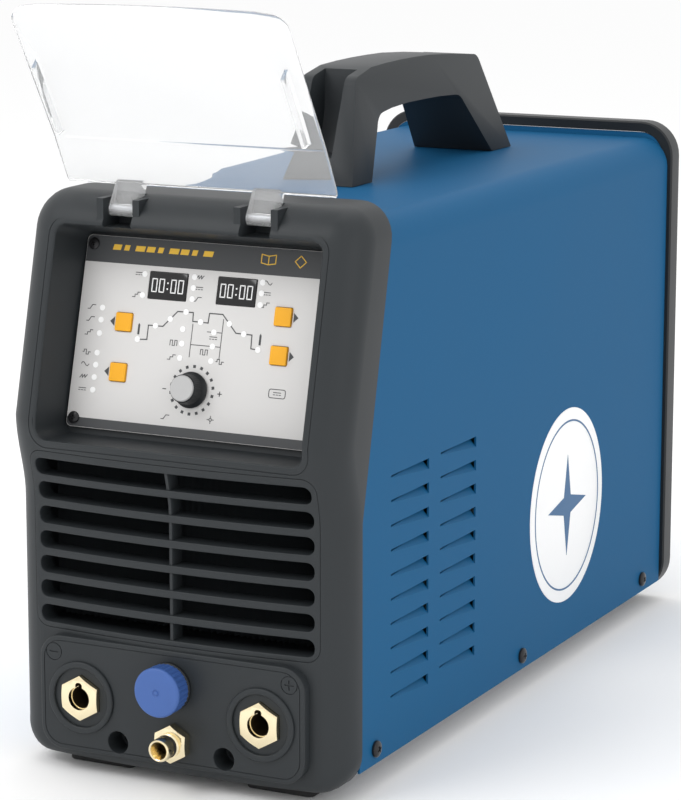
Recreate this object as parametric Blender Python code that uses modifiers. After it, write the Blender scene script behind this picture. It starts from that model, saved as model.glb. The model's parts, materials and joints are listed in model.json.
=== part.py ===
"""Portable inverter TIG welding machine with a clear hinged lid over its control panel.

Metres, +Z up. X runs to the right as seen from the front, the front faces -Y, and the
machine stands on Z = 0 with the middle of its bounding box on the Z axis.
"""

import math

import bmesh
import bpy
from mathutils import Matrix, Vector

# ---- driving dimensions (metres, degrees) ----
GAP = 0.0003                 # clearance between pieces that touch
COVER_HALF_W = 0.100
COVER_TOP = 0.3084
COVER_BOTTOM = 0.0148
COVER_RADIUS = 0.018
COVER_REAR = 0.2402
SHEET = 0.0012

BEZEL_HALF_W = 0.1017
BEZEL_TOP = 0.3168
BEZEL_BOTTOM = 0.006
BEZEL_CORNER = 0.020         # corner radius in front elevation
BEZEL_EDGE = 0.018           # rounding from the front face to the sides
BEZEL_WALL = 0.0026
FACE_Y = -0.2352             # lower front face on the centre line
BOW = 0.6835                 # the face falls back by BOW * x**2
CHIN_Z = 0.196
CHIN_START_Z = 0.150
CHIN_OUT = 0.0085            # the chin stands this far in front of the lower face
FACE_LEAN = math.tan(math.radians(14.0))
BEZEL_REAR_Y = -0.2095       # lower rear edge, vertical up to BEZEL_REAR_BEND
BEZEL_REAR_BEND = 0.152
BEZEL_REAR_LEAN = 0.2352

PANEL_CENTRE = Vector((0.0, -0.2004, 0.2397))
PANEL_TILT = 15.0
PANEL_W = 0.153
PANEL_H = 0.1054
PANEL_T = 0.002
RECESS_W = 0.161             # at the lip
RECESS_TOP = 0.0545          # along the panel, from its centre
RECESS_BOTTOM = -0.0622
RECESS_DRAFT = 0.003
RECESS_FLOOR_DRAFT = 0.0077
RECESS_LIP = 0.034           # height above the panel at which the opening is stated

DISPLAYS = {"left": (-0.0231, 0.0277), "right": (0.0189, 0.0277)}
DISPLAY_SIZE = (0.0234, 0.0146)
BUTTONS = ((-0.0475, 0.0064), (-0.0475, -0.0210), (0.0485, 0.0165), (0.0485, -0.0042))
BUTTON_SIZE = 0.010
BUTTON_PROUD = 0.0014
BUTTON_TRAVEL = 0.0008
TACT_TOP = -0.0088           # top of the switches under the buttons, behind the panel
KNOB_AT = (-0.0012, -0.0268)
KNOB_SKIRT_R = 0.0098
KNOB_CAP_R = 0.0072
KNOB_TOP = 0.0108
PANEL_SCREWS = ((-0.0718, 0.0477), (0.0718, 0.0477), (-0.0718, -0.0477), (0.0718, -0.0477))

LID_PIN = (-0.2060, 0.3090)  # Y, Z of the lid's hinge axis
LID_HALF_W = 0.0815
LID_T = 0.0025
LID_START = (-0.1977, 0.3216)
LID_FOLD = (-0.2116, 0.3475)
LID_WINDOW_LEAN = 32.0       # degrees from vertical when open
LID_WINDOW_LEN = 0.0865
LUG_X = 0.0415
LUG_W = 0.016
POCKET_W = 0.018
PIN_R = 0.002

GRILLE_HALF_W = 0.0870
GRILLE_Z = (0.0795, 0.1790)
SLOT_HALF_W = 0.0838
SLOT_H = 0.0095
SLOT_PITCH = 0.0138
SLOT_COUNT = 7
SLOT_FIRST_TOP = 0.1746
SLOT_RIB = 0.0036
GRILLE_DEPTH = 0.012
DUCT_BOX = (-0.0862, 0.0800, 0.0862, 0.1780)   # X and Z of the duct behind the grille, outside
DUCT_Y = (-0.2290, -0.1050)
DUCT_WALL = 0.0014

PLATE_HALF_W = 0.0812
PLATE_Z = (0.0128, 0.0770)
PLATE_Y = -0.2370
SOCKET_X = 0.0552
SOCKET_Z = 0.0437
SOCKET_COLLAR_R = 0.0203
SOCKET_RECESS_R = 0.0165
SOCKET_HEX = 0.022
SOCKET_BORE_R = 0.0065
CONNECTOR_Z = 0.0574
CAP_R = 0.01375
GAS_AT = (0.0030, 0.0268)
GAS_BORE_R = 0.0031
GAS_HEX = 0.0185             # across flats
HOSE_R = 0.0040
DEEP_HOLE_X = 0.0327
DEEP_HOLE_Z = 0.0212
DEEP_HOLE_R = 0.0062

REAR_HALF_W = 0.103
REAR_TOP = 0.3185
REAR_BOTTOM = 0.006
REAR_Y = (0.2405, 0.2555)
REAR_CORNER = 0.022
REAR_RIM = 0.0065
REAR_PANEL_Y = (0.2408, 0.2423)

FAN_Z = 0.190
FAN_SIZE = 0.120
FAN_R = 0.0565
FAN_Y = (0.2149, 0.2403)
SWITCH_AT = (0.045, 0.284)
GLAND_AT = (-0.055, 0.070)
GAS_IN_AT = (0.055, 0.070)
EARTH_AT = (0.0, 0.050)

LOUVRE_STARTS = (-0.1714, -0.1081)   # front ends of the two louvre columns, along Y
LOUVRE_LENGTH = 0.0480
LOUVRE_ROWS = 10
LOUVRE_PITCH = 0.0136
LOUVRE_TOP = 0.1701
LOUVRE_H = 0.0030
SIDE_SCREWS_Y = (-0.1902, 0.0090, 0.2076)
SIDE_SCREW_Z = 0.0234
SCREW_HOLE_R = 0.0022
HANDLE_BASE_HALF = 0.0266
HANDLE_TAPER = 0.16
HANDLE_SCREWS_Y = (-0.0570, 0.1400)
FOOT_X = 0.0555

ROUND_STEPS = 20             # sides of a turned piece
REAR_MARK = 1.0              # marks the bezel's rear loop until its face has been displaced


def face_y(x, z):
    """Y of the bezel's front face, bowed in plan and leaning back above its chin."""
    t = min(max((z - CHIN_START_Z) / (CHIN_Z - CHIN_START_Z), 0.0), 1.0)
    y = FACE_Y - CHIN_OUT * t * t * (3.0 - 2.0 * t)
    return y + max(z - CHIN_Z, 0.0) * FACE_LEAN + BOW * x * x


# ---- scene and helpers ----
def clear_scene():
    for obj in list(bpy.data.objects):
        bpy.data.objects.remove(obj, do_unlink=True)


def new_collection(name):
    found = bpy.data.collections.get(name) or bpy.data.collections.new(name)
    if name not in bpy.context.scene.collection.children:
        bpy.context.scene.collection.children.link(found)
    return found


clear_scene()
PARTS = new_collection("tig_welding_machine")
CUTTERS = new_collection("cutters")


def material(name, colour, roughness, metallic=0.0, alpha=1.0):
    mat = bpy.data.materials.get(name) or bpy.data.materials.new(name)
    mat.use_nodes = True
    shader = mat.node_tree.nodes["Principled BSDF"]
    shader.inputs["Base Color"].default_value = (*colour, 1.0)
    shader.inputs["Roughness"].default_value = roughness
    shader.inputs["Metallic"].default_value = metallic
    shader.inputs["Alpha"].default_value = alpha
    return mat


DARK_PLASTIC = material("bezel_plastic", (0.045, 0.050, 0.053), 0.45)
BLACK_PLASTIC = material("black_plastic", (0.015, 0.016, 0.018), 0.45)
BLUE_PAINT = material("blue_paint", (0.020, 0.110, 0.270), 0.35, 0.1)
STEEL = material("zinc_steel", (0.55, 0.56, 0.58), 0.40, 1.0)
BRASS = material("brass", (0.80, 0.58, 0.25), 0.22, 1.0)
ALUMINIUM = material("aluminium", (0.80, 0.81, 0.82), 0.35, 1.0)
PANEL_FACE = material("panel_face", (0.70, 0.69, 0.68), 0.35)
DISPLAY = material("display", (0.005, 0.005, 0.006), 0.12)
YELLOW = material("button_yellow", (0.90, 0.45, 0.04), 0.40)
CAP_BLUE = material("cap_blue", (0.05, 0.10, 0.45), 0.50)
CAP_GREY = material("knob_grey", (0.42, 0.42, 0.42), 0.45)
CLEAR = material("clear_polycarbonate", (0.95, 0.97, 1.0), 0.05, 0.0, 0.2)
RUBBER = material("rubber", (0.02, 0.02, 0.02), 0.80)
BOARD = material("circuit_board", (0.03, 0.16, 0.07), 0.50)
COPPER = material("copper", (0.72, 0.35, 0.18), 0.35, 1.0)
SCREW_BLACK = material("black_screw", (0.02, 0.02, 0.022), 0.35, 0.6)


def put(name, mesh, mat, matrix=None):
    """Link a mesh as a part; without a material it is a cutter or a joining guide."""
    obj = bpy.data.objects.new(name, mesh)
    (PARTS if mat else CUTTERS).objects.link(obj)
    if mat:
        mesh.materials.append(mat)
    else:
        obj.hide_render = True
        obj.display_type = "WIRE"
    if matrix is not None:
        obj.matrix_world = matrix
    return obj


def mesh_of(bm, name, smooth=False):
    bmesh.ops.recalc_face_normals(bm, faces=bm.faces)
    mesh = bpy.data.meshes.new(name)
    bm.to_mesh(mesh)
    bm.free()
    if smooth:
        mesh.shade_smooth()
        mesh.set_sharp_from_angle(angle=math.radians(35))
    return mesh


def box(name, size, centre, mat=None, matrix=None, bevel=0.0, segments=2):
    """A block, its edges optionally rounded."""
    bm = bmesh.new()
    bmesh.ops.create_cube(bm, size=1.0)
    bmesh.ops.scale(bm, vec=size, verts=bm.verts)
    bmesh.ops.translate(bm, vec=centre, verts=bm.verts)
    obj = put(name, mesh_of(bm, name), mat, matrix)
    if bevel:
        mod = obj.modifiers.new("rounding", "BEVEL")
        mod.width = bevel
        mod.segments = segments
    return obj


def span(name, low, high, mat=None, matrix=None, bevel=0.0, segments=2):
    """A block given by its lowest and highest corners."""
    size = [h - l for l, h in zip(low, high)]
    centre = [(h + l) / 2 for l, h in zip(low, high)]
    return box(name, size, centre, mat, matrix, bevel, segments)


def rod(name, radius, z0, z1, mat=None, matrix=None, at=(0.0, 0.0), sides=24, top=None):
    """A cylinder or cone frustum along its local Z, or a prism when sides is small."""
    bm = bmesh.new()
    bmesh.ops.create_cone(bm, cap_ends=True, segments=sides, radius1=radius,
                          radius2=radius if top is None else top, depth=z1 - z0)
    bmesh.ops.translate(bm, vec=(at[0], at[1], (z0 + z1) / 2), verts=bm.verts)
    return put(name, mesh_of(bm, name, sides > 8), mat, matrix)


def turned(name, profile, mat=None, matrix=None, steps=ROUND_STEPS, ring=False):
    """Profile points (radius, z), outer side first and from the top down, turned about Z."""
    mesh = bpy.data.meshes.new(name)
    count = len(profile)
    edges = [(i, i + 1) for i in range(count - 1)] + ([(count - 1, 0)] if ring else [])
    mesh.from_pydata([(r, 0.0, z) for r, z in profile], edges, [])
    obj = put(name, mesh, mat, matrix)
    mod = obj.modifiers.new("turn", "SCREW")
    mod.steps = mod.render_steps = steps
    mod.use_merge_vertices = True
    mod.merge_threshold = 0.00001
    return obj


def prism(name, outline, low, high, mat=None, matrix=None, smooth=False):
    """An outline in local XY, extruded from Z = low to Z = high."""
    bm = bmesh.new()
    face = bm.faces.new([bm.verts.new((x, y, low)) for x, y in outline])
    made = bmesh.ops.extrude_face_region(bm, geom=[face])
    moved = [g for g in made["geom"] if isinstance(g, bmesh.types.BMVert)]
    bmesh.ops.translate(bm, vec=(0, 0, high - low), verts=moved)
    return put(name, mesh_of(bm, name, smooth), mat, matrix)


def arc(cx, cy, radius, start, end, steps):
    """Points on an arc, angles in degrees."""
    angles = [math.radians(start + (end - start) * i / steps) for i in range(steps + 1)]
    return [(cx + radius * math.cos(a), cy + radius * math.sin(a)) for a in angles]


def rounded(x0, y0, x1, y1, radius, steps=4):
    """A rounded rectangle, counter-clockwise from its lower right corner."""
    r = radius
    return (arc(x1 - r, y0 + r, r, -90, 0, steps) + arc(x1 - r, y1 - r, r, 0, 90, steps)
            + arc(x0 + r, y1 - r, r, 90, 180, steps) + arc(x0 + r, y0 + r, r, 180, 270, steps))


def hex_radius(across_flats):
    return across_flats / 2 / math.cos(math.radians(30))


def boolean(obj, other, operation):
    mod = obj.modifiers.new(operation.lower(), "BOOLEAN")
    mod.operation = operation
    mod.solver = "EXACT"
    mod.object = other


def cut(obj, *cutters):
    for cutter in cutters:
        boolean(obj, cutter, "DIFFERENCE")
    return obj


def join(obj, *others):
    for other in others:
        boolean(obj, other, "UNION")
    return obj


def front_matrix(x=0.0, y=0.0, z=0.0):
    """Local X to the right, local Y up, local Z out of the front (-Y)."""
    return Matrix.Translation((x, y, z)) @ Matrix.Rotation(math.radians(90), 4, "X")


def rear_matrix(x=0.0, y=0.0, z=0.0):
    """Local Z out of the rear (+Y), local Y up."""
    turn = Matrix.Rotation(math.pi, 4, "Z") @ Matrix.Rotation(math.radians(90), 4, "X")
    return Matrix.Translation((x, y, z)) @ turn


def side_matrix(sign, x, y, z):
    """Local Z out of the right (sign 1) or left (sign -1) side."""
    turn = Matrix.Rotation(math.radians(90 * sign), 4, "Y")
    return Matrix.Translation((x, y, z)) @ turn


def along_x(x=0.0):
    """Local X to world Y, local Y to world Z, local Z to world X."""
    turn = Matrix(((0, 0, 1, 0), (1, 0, 0, 0), (0, 1, 0, 0), (0, 0, 0, 1)))
    return Matrix.Translation((x, 0, 0)) @ turn


PANEL_FRAME = (Matrix.Translation(PANEL_CENTRE)
               @ Matrix.Rotation(math.radians(90 - PANEL_TILT), 4, "X"))


# ---- front bezel ----
def bezel_loop(inset, depth):
    """One loop of the bezel's rounded front edge: (x, z, setback from the face)."""
    low = BEZEL_BOTTOM + inset * 0.45
    radius = max(BEZEL_CORNER - inset, 0.0015)
    half = BEZEL_HALF_W - inset
    top = BEZEL_TOP - inset
    points = []
    for x, z in rounded(-half, low, half, top, radius, 4):
        share = min(max((z - low) / BEZEL_CORNER, 0.0), 1.0)
        points.append((x, z, depth * (0.45 + 0.55 * share)))
    return points


def bezel_form(name, grow, rear, mat=None):
    """The bezel's outer form, shrunk inward by -grow; its face is displaced by face_y."""
    bm = bmesh.new()
    rings = []
    for angle in (0, 20, 45, 70, 90):
        a = math.radians(angle)
        loop = bezel_loop(BEZEL_EDGE * (1 - math.cos(a)), BEZEL_EDGE * (1 - math.sin(a)))
        rings.append([(x, z, back) for x, z, back in loop])
    rings.insert(0, [(x, z, None) for x, z, _ in bezel_loop(0.0, 0.0)])
    scale_x = (BEZEL_HALF_W + grow) / BEZEL_HALF_W
    height = BEZEL_TOP - BEZEL_BOTTOM
    mid_z = (BEZEL_TOP + BEZEL_BOTTOM) / 2
    scale_z = (height + 2 * grow) / height
    made = []
    for ring in rings:
        verts = []
        for x, z, back in ring:
            y = REAR_MARK if back is None else back - grow
            verts.append(bm.verts.new((x * scale_x, y, mid_z + (z - mid_z) * scale_z)))
        made.append(verts)
    for a, b in zip(made, made[1:]):
        for i in range(len(a)):
            j = (i + 1) % len(a)
            bm.faces.new((a[i], a[j], b[j], b[i]))
    bm.faces.new(made[-1])
    bm.faces.new(list(reversed(made[0])))
    for x in (-0.07, -0.035, 0.0, 0.035, 0.07):
        slice_at(bm, (x, 0, 0), (1, 0, 0))
    for z in (0.150, 0.165, 0.181, 0.196):
        slice_at(bm, (0, 0, z), (0, 0, 1))
    for vert in bm.verts:
        if vert.co.y == REAR_MARK:
            vert.co.y = rear
        else:
            vert.co.y += face_y(vert.co.x, vert.co.z)
    bmesh.ops.triangulate(bm, faces=bm.faces)
    return put(name, mesh_of(bm, name, True), mat)


def slice_at(bm, point, normal):
    geom = bm.verts[:] + bm.edges[:] + bm.faces[:]
    bmesh.ops.bisect_plane(bm, geom=geom, plane_co=point, plane_no=normal, dist=1e-6)


def rear_trim(name, offset):
    """A block behind the bezel's rear edge, moved back by offset."""
    y = BEZEL_REAR_Y + offset
    top = 0.36
    lean = y + (top - BEZEL_REAR_BEND) * BEZEL_REAR_LEAN
    outline = [(y, -0.01), (0.3, -0.01), (0.3, top), (lean, top), (y, BEZEL_REAR_BEND)]
    return prism(name, outline, -0.15, 0.15, None, along_x())


def tapered(name, low, high, base, top, radius, matrix):
    """A draughted pocket between two rounded rectangles at local Z = low and high."""
    bm = bmesh.new()
    loops = []
    for z, (x0, y0, x1, y1) in ((low, base), (high, top)):
        loops.append([bm.verts.new((x, y, z)) for x, y in rounded(x0, y0, x1, y1, radius, 4)])
    for i in range(len(loops[0])):
        j = (i + 1) % len(loops[0])
        bm.faces.new((loops[0][i], loops[0][j], loops[1][j], loops[1][i]))
    bm.faces.new(list(reversed(loops[0])))
    bm.faces.new(loops[1])
    return put(name, mesh_of(bm, name), None, matrix)


def recess(name, grow, low):
    half = RECESS_W / 2 + grow
    deep_half = half - RECESS_DRAFT
    top = (-half, RECESS_BOTTOM - grow, half, RECESS_TOP + grow)
    base = (-deep_half, RECESS_BOTTOM + RECESS_FLOOR_DRAFT - grow, deep_half, RECESS_TOP + grow)
    return tapered(name, low, RECESS_LIP, base, top, 0.006 + grow, PANEL_FRAME)


def tub(name):
    """Recess walls and floor, kept inside the outer form by an intersection."""
    block = recess(name, BEZEL_WALL, -0.0056)
    boolean(block, bezel_form(name + "_limit", -0.0004, -0.16), "INTERSECT")
    return block


def front_bezel():
    bezel = bezel_form("front_bezel", 0.0, -0.160, DARK_PLASTIC)
    cut(bezel, bezel_form("bezel_hollow", -BEZEL_WALL, -0.150))
    join(bezel, tub("bezel_tub"))
    for sign in (-1, 1):
        x = sign * LUG_X
        half = POCKET_W / 2 + 0.004
        low = (x - half, -0.2140, 0.2990)
        join(bezel, span("hinge_boss", low, (x + half, -0.1930, 0.3150)))
        deep = rod("screw_boss", 0.0092, 0.2120, 0.2355, None, front_matrix(),
                   (sign * DEEP_HOLE_X, DEEP_HOLE_Z), 20)
        join(bezel, deep)
    outline = rounded(-PLATE_HALF_W, PLATE_Z[0], PLATE_HALF_W, PLATE_Z[1], 0.013)
    join(bezel, prism("connector_plate", outline, 0.2300, -PLATE_Y, None, front_matrix()))
    cut(bezel, recess("recess_space", 0.0, -0.0023))
    window = prism("board_window", rounded(-0.0665, -0.0425, 0.0665, 0.0425, 0.003, 2),
                   -0.02, 0.01, None, PANEL_FRAME)
    grille_hole = prism("grille_hole", rounded(-GRILLE_HALF_W - GAP, GRILLE_Z[0] - GAP,
                        GRILLE_HALF_W + GAP, GRILLE_Z[1] + GAP, 0.008), 0.15, 0.3, None,
                        front_matrix())
    cut(bezel, window, grille_hole, rear_trim("bezel_rear_trim", 0.0))
    for x, v in PANEL_SCREWS:
        cut(bezel, rod("panel_screw_hole", 0.0018, -0.02, 0.01, None, PANEL_FRAME, (x, v), 12))
    for sign in (-1, 1):
        x = sign * LUG_X
        half = POCKET_W / 2
        cut(bezel, span("hinge_pocket", (x - half, -0.26, 0.2996), (x + half, -0.1975, 0.33)))
        cut(bezel, rod("pin_hole", PIN_R + 0.00005, x - half - 0.0035, x + half + 0.0035, None,
                       along_x(), LID_PIN, 16))
        cut(bezel, rod("deep_hole", DEEP_HOLE_R, 0.2225, 0.25, None, front_matrix(),
                       (sign * DEEP_HOLE_X, DEEP_HOLE_Z), 24))
        cut(bezel, rod("screw_clearance", 0.0023, 0.20, 0.23, None, front_matrix(),
                       (sign * DEEP_HOLE_X, DEEP_HOLE_Z), 12))
        cut(bezel, rod("socket_hole", 0.0174, 0.15, 0.26, None, front_matrix(),
                       (sign * SOCKET_X, SOCKET_Z), 28))
    cut(bezel, rod("connector_hole", 0.0108, 0.15, 0.26, None, front_matrix(),
                   (0.0, CONNECTOR_Z), 24))
    cut(bezel, rod("gas_hole", 0.0063, 0.15, 0.26, None, front_matrix(), GAS_AT, 20))


def front_grille():
    """Vent insert: slots around a middle rib, bowed like the bezel's face, and an air duct."""
    bm = bmesh.new()
    outline = rounded(-GRILLE_HALF_W, GRILLE_Z[0], GRILLE_HALF_W, GRILLE_Z[1], 0.0077)
    face = bm.faces.new([bm.verts.new((x, 0.0, z)) for x, z in outline])
    made = bmesh.ops.extrude_face_region(bm, geom=[face])
    moved = [g for g in made["geom"] if isinstance(g, bmesh.types.BMVert)]
    bmesh.ops.translate(bm, vec=(0, GRILLE_DEPTH, 0), verts=moved)
    for x in (-0.045, -0.015, 0.015, 0.045):
        slice_at(bm, (x, 0, 0), (1, 0, 0))
    for z in (0.150, 0.165):
        slice_at(bm, (0, 0, z), (0, 0, 1))
    for vert in bm.verts:
        vert.co.y += face_y(vert.co.x, vert.co.z)
    bmesh.ops.triangulate(bm, faces=bm.faces)
    grille = put("front_grille", mesh_of(bm, "front_grille"), DARK_PLASTIC)
    x0, z0, x1, z1 = DUCT_BOX
    front, rear = (-y for y in DUCT_Y)
    duct = prism("air_duct", rounded(x0, z0, x1, z1, 0.006, 3), rear, front, None, front_matrix())
    w = DUCT_WALL
    space = rounded(x0 + w, z0 + w, x1 - w, z1 - w, 0.006 - w, 3)
    cut(duct, prism("duct_space", space, 0.0, 0.3, None, front_matrix()))
    join(grille, duct)
    for row in range(SLOT_COUNT):
        top = SLOT_FIRST_TOP - row * SLOT_PITCH
        for x0, x1 in ((-SLOT_HALF_W, -SLOT_RIB / 2), (SLOT_RIB / 2, SLOT_HALF_W)):
            outline = rounded(x0, top - SLOT_H, x1, top, 0.0042, 2)
            cut(grille, prism("slot", outline, 0.15, 0.30, None, front_matrix()))


# ---- control panel ----
def control_panel():
    outline = rounded(-PANEL_W / 2, -PANEL_H / 2, PANEL_W / 2, PANEL_H / 2, 0.003, 3)
    panel = prism("control_panel", outline, -PANEL_T, 0.0, PANEL_FACE, PANEL_FRAME)
    for x, v in DISPLAYS.values():
        half_w, half_h = (s / 2 + GAP for s in DISPLAY_SIZE)
        cut(panel, span("display_hole", (x - half_w, v - half_h, -0.01),
                        (x + half_w, v + half_h, 0.01), None, PANEL_FRAME))
    for x, v in BUTTONS:
        half = BUTTON_SIZE / 2 + GAP
        cut(panel, span("button_hole", (x - half, v - half, -0.01), (x + half, v + half, 0.01),
                        None, PANEL_FRAME))
    cut(panel, rod("bush_hole", 0.0038, -0.01, 0.01, None, PANEL_FRAME, KNOB_AT, 16))
    for x, v in PANEL_SCREWS:
        cut(panel, rod("screw_hole", 0.0018, -0.01, 0.01, None, PANEL_FRAME, (x, v), 12))
        screw("panel_screw", (x, v), 0.0033, 0.0015, 0.00155, 0.010, PANEL_FRAME, 0.0)


def screw(name, at, head_r, shank_r, head_h, length, matrix, seat, mat=SCREW_BLACK, holder=None):
    """A pan-head screw with a cross recess; its head sits on local Z = seat."""
    profile = [(0.0, seat + head_h), (head_r * 0.7, seat + head_h * 0.9),
               (head_r, seat + head_h * 0.4), (head_r, seat + GAP), (shank_r, seat + GAP),
               (shank_r, seat - length), (0.0, seat - length)]
    place = matrix @ Matrix.Translation((at[0], at[1], 0.0))
    index = sum(1 for obj in PARTS.objects if obj.name.startswith(name)) + 1
    made = turned(f"{name}_{index}", profile, mat, place, 8)
    arm = head_r * 0.55
    for size in ((arm * 2, head_r * 0.22, head_h), (head_r * 0.22, arm * 2, head_h)):
        cut(made, box("cross", size, (0, 0, seat + head_h * 1.1), None, place))
    return made


def displays():
    for side, (x, v) in DISPLAYS.items():
        w, h = DISPLAY_SIZE
        lens = box(f"display_{side}", (w, h, 0.0030), (x, v, -0.0010), DISPLAY, PANEL_FRAME)
        join(lens, box("display_flange", (w + 0.003, h + 0.003, 0.0012), (x, v, -0.0029),
                       None, PANEL_FRAME))


def buttons():
    stem_end = TACT_TOP + BUTTON_TRAVEL + 0.0002
    for index, (x, v) in enumerate(BUTTONS, 1):
        place = PANEL_FRAME @ Matrix.Translation((x, v, 0.0))
        size = BUTTON_SIZE
        cap = box(f"button_{index}", (size, size, BUTTON_PROUD + 0.0040),
                  (0, 0, (BUTTON_PROUD - 0.0040) / 2), YELLOW, place, 0.0006, 1)
        join(cap, box("button_flange", (size + 0.002, size + 0.002, 0.0010),
                      (0, 0, -0.0033), None, place))
        join(cap, rod("button_stem", 0.0015, stem_end, -0.0030, None, place, (0, 0), 12))


def encoder():
    place = PANEL_FRAME @ Matrix.Translation((*KNOB_AT, 0.0))
    body = box("rotary_encoder", (0.0125, 0.0125, 0.0062), (0, 0, -0.0056), STEEL, place)
    join(body, rod("encoder_bush", 0.0034, -0.004, 0.0046, None, place, (0, 0), 16))
    join(body, rod("encoder_shaft", 0.0030, 0.0040, 0.0092, None, place, (0, 0), 16))
    profile = [(0.0, KNOB_TOP), (KNOB_CAP_R, KNOB_TOP), (KNOB_CAP_R + 0.0004, KNOB_TOP - 0.0006),
               (0.0082, 0.0040), (KNOB_SKIRT_R, 0.0022), (KNOB_SKIRT_R, 0.0008),
               (0.0040, 0.0008), (0.0040, 0.0052), (0.0032, 0.0052), (0.0032, 0.0095),
               (0.0, 0.0095)]
    turned("encoder_knob", profile, BLACK_PLASTIC, place)
    top = KNOB_TOP + GAP
    cap = [(0.0, top + 0.0008), (KNOB_CAP_R - 0.0006, top + 0.0008),
           (KNOB_CAP_R - 0.0001, top + 0.0004), (KNOB_CAP_R - 0.0001, top), (0.0, top)]
    turned("knob_cap", cap, CAP_GREY, place)


def control_board():
    board = box("control_board", (0.130, 0.082, 0.0016), (0, 0, -0.0107), BOARD, PANEL_FRAME)
    side, tall = 0.006, 0.0012
    for x, v in BUTTONS:
        join(board, box("tact_switch", (side, side, tall), (x, v, TACT_TOP - tall / 2), None,
                        PANEL_FRAME))
    join(board, box("ribbon_header", (0.030, 0.008, 0.008), (0.02, -0.028, -0.0150), None,
                    PANEL_FRAME))


# ---- lid ----
def lid():
    lean = math.radians(LID_WINDOW_LEAN)
    end = (LID_FOLD[0] - LID_WINDOW_LEN * math.sin(lean), LID_FOLD[1] + LID_WINDOW_LEN * math.cos(lean))
    run = (LID_FOLD[0] - LID_START[0], LID_FOLD[1] - LID_START[1])
    length = math.hypot(*run)
    strip_n = (run[1] / length, -run[0] / length)
    window_n = (math.cos(lean), math.sin(lean))
    mid = ((strip_n[0] + window_n[0]) / 2, (strip_n[1] + window_n[1]) / 2)
    h = LID_T / 2
    path = ((LID_START, strip_n), (LID_FOLD, mid), (end, window_n))
    outline = [(p[0] + n[0] * h, p[1] + n[1] * h) for p, n in path]
    outline += [(p[0] - n[0] * h, p[1] - n[1] * h) for p, n in reversed(path)]
    plate = prism("lid", outline, -LID_HALF_W, LID_HALF_W, CLEAR, along_x())
    trim_place = (Matrix.Translation((0, LID_FOLD[0], LID_FOLD[1]))
                  @ Matrix.Rotation(math.radians(90) + lean, 4, "X"))
    shape = ([(-0.12, -0.06), (0.12, -0.06), (0.12, 0.12), (-0.12, 0.12)])
    keep = prism("lid_edge_trim", shape, -0.05, 0.05, None, trim_place)
    top = LID_WINDOW_LEN
    inner = (arc(LID_HALF_W - 0.0105, top - 0.0125, 0.010, 0, 78, 4)
             + [(0.03, top - 0.0006), (0.0, top - 0.0001), (-0.03, top - 0.0006)]
             + arc(-LID_HALF_W + 0.0105, top - 0.0125, 0.010, 102, 180, 4)
             + [(-LID_HALF_W + 0.0002, -0.0270), (-LID_HALF_W + 0.0025, -0.0400),
                (LID_HALF_W - 0.0025, -0.0400), (LID_HALF_W - 0.0002, -0.0270)])
    cut(keep, prism("lid_shape", inner, -0.06, 0.06, None, trim_place))
    cut(plate, keep)
    for sign in (-1, 1):
        x = sign * 0.0735
        rib = span("lid_rib", (x - 0.0011, 0.0040, 0.0002), (x + 0.0011, 0.0520, 0.0080), None,
                   trim_place)
        join(plate, rib)
        lug(plate, sign * LUG_X)


def lug(plate, x):
    """A hinge lug: a barrel round the pin and an arm up to the lid's edge."""
    y, z = LID_PIN
    half = LUG_W / 2
    y1, z1 = LID_START
    arm = [(y - 0.0040, z), (y + 0.0040, z - 0.0010), (y1 + 0.0014, z1 - 0.0005),
           (y1 - 0.0008, z1 + 0.0030), (y1 - 0.0045, z1 + 0.0012)]
    join(plate, prism("lug_arm", arm, x - half, x + half, None, along_x()))
    join(plate, rod("lug_barrel", 0.0042, x - half + 0.0002, x + half - 0.0002, None, along_x(),
                    LID_PIN, 20))
    cut(plate, rod("lug_bore", PIN_R + 0.0003, x - half - 0.01, x + half + 0.01, None, along_x(),
                   LID_PIN, 16))


def hinge_pins():
    for side, sign in (("left", -1), ("right", 1)):
        x = sign * LUG_X
        half = POCKET_W / 2 + 0.0030
        rod(f"hinge_pin_{side}", PIN_R - GAP, x - half, x + half, STEEL, along_x(), LID_PIN, 16)


# ---- connectors ----
def output_sockets():
    for side, sign in (("minus", -1), ("plus", 1)):
        place = front_matrix(sign * SOCKET_X, 0.0, SOCKET_Z)
        front = -PLATE_Y + 0.0018
        seat = -PLATE_Y + GAP
        collar, inner = SOCKET_COLLAR_R, SOCKET_RECESS_R
        profile = [(inner + 0.0008, front), (collar - 0.0008, front), (collar, front - 0.0008),
                   (collar, seat), (0.0170, seat), (0.0170, 0.2080), (0.0134, 0.2080),
                   (0.0134, 0.2325), (inner, 0.2325), (inner, front - 0.0008)]
        turned(f"socket_housing_{side}", profile, BLACK_PLASTIC, place, ROUND_STEPS, True)
        face = 0.2400
        contact = rod(f"socket_contact_{side}", hex_radius(SOCKET_HEX), 0.2275, face, BRASS,
                      place @ Matrix.Rotation(math.radians(90), 4, "Z"), (0, 0), 6)
        join(contact, rod("contact_barrel", 0.0100, 0.2040, 0.2280, None, place, (0, 0), 24))
        join(contact, rod("contact_stud", 0.0050, 0.1880, 0.2050, None, place, (0, 0), 16))
        cut(contact, rod("contact_bore", SOCKET_BORE_R, 0.2150, 0.25, None, place, (0, 0), 24))
        cut(contact, span("key_slot", (-0.0021, 0.004, 0.2230), (0.0021, 0.0088, 0.25), None, place))


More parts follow.
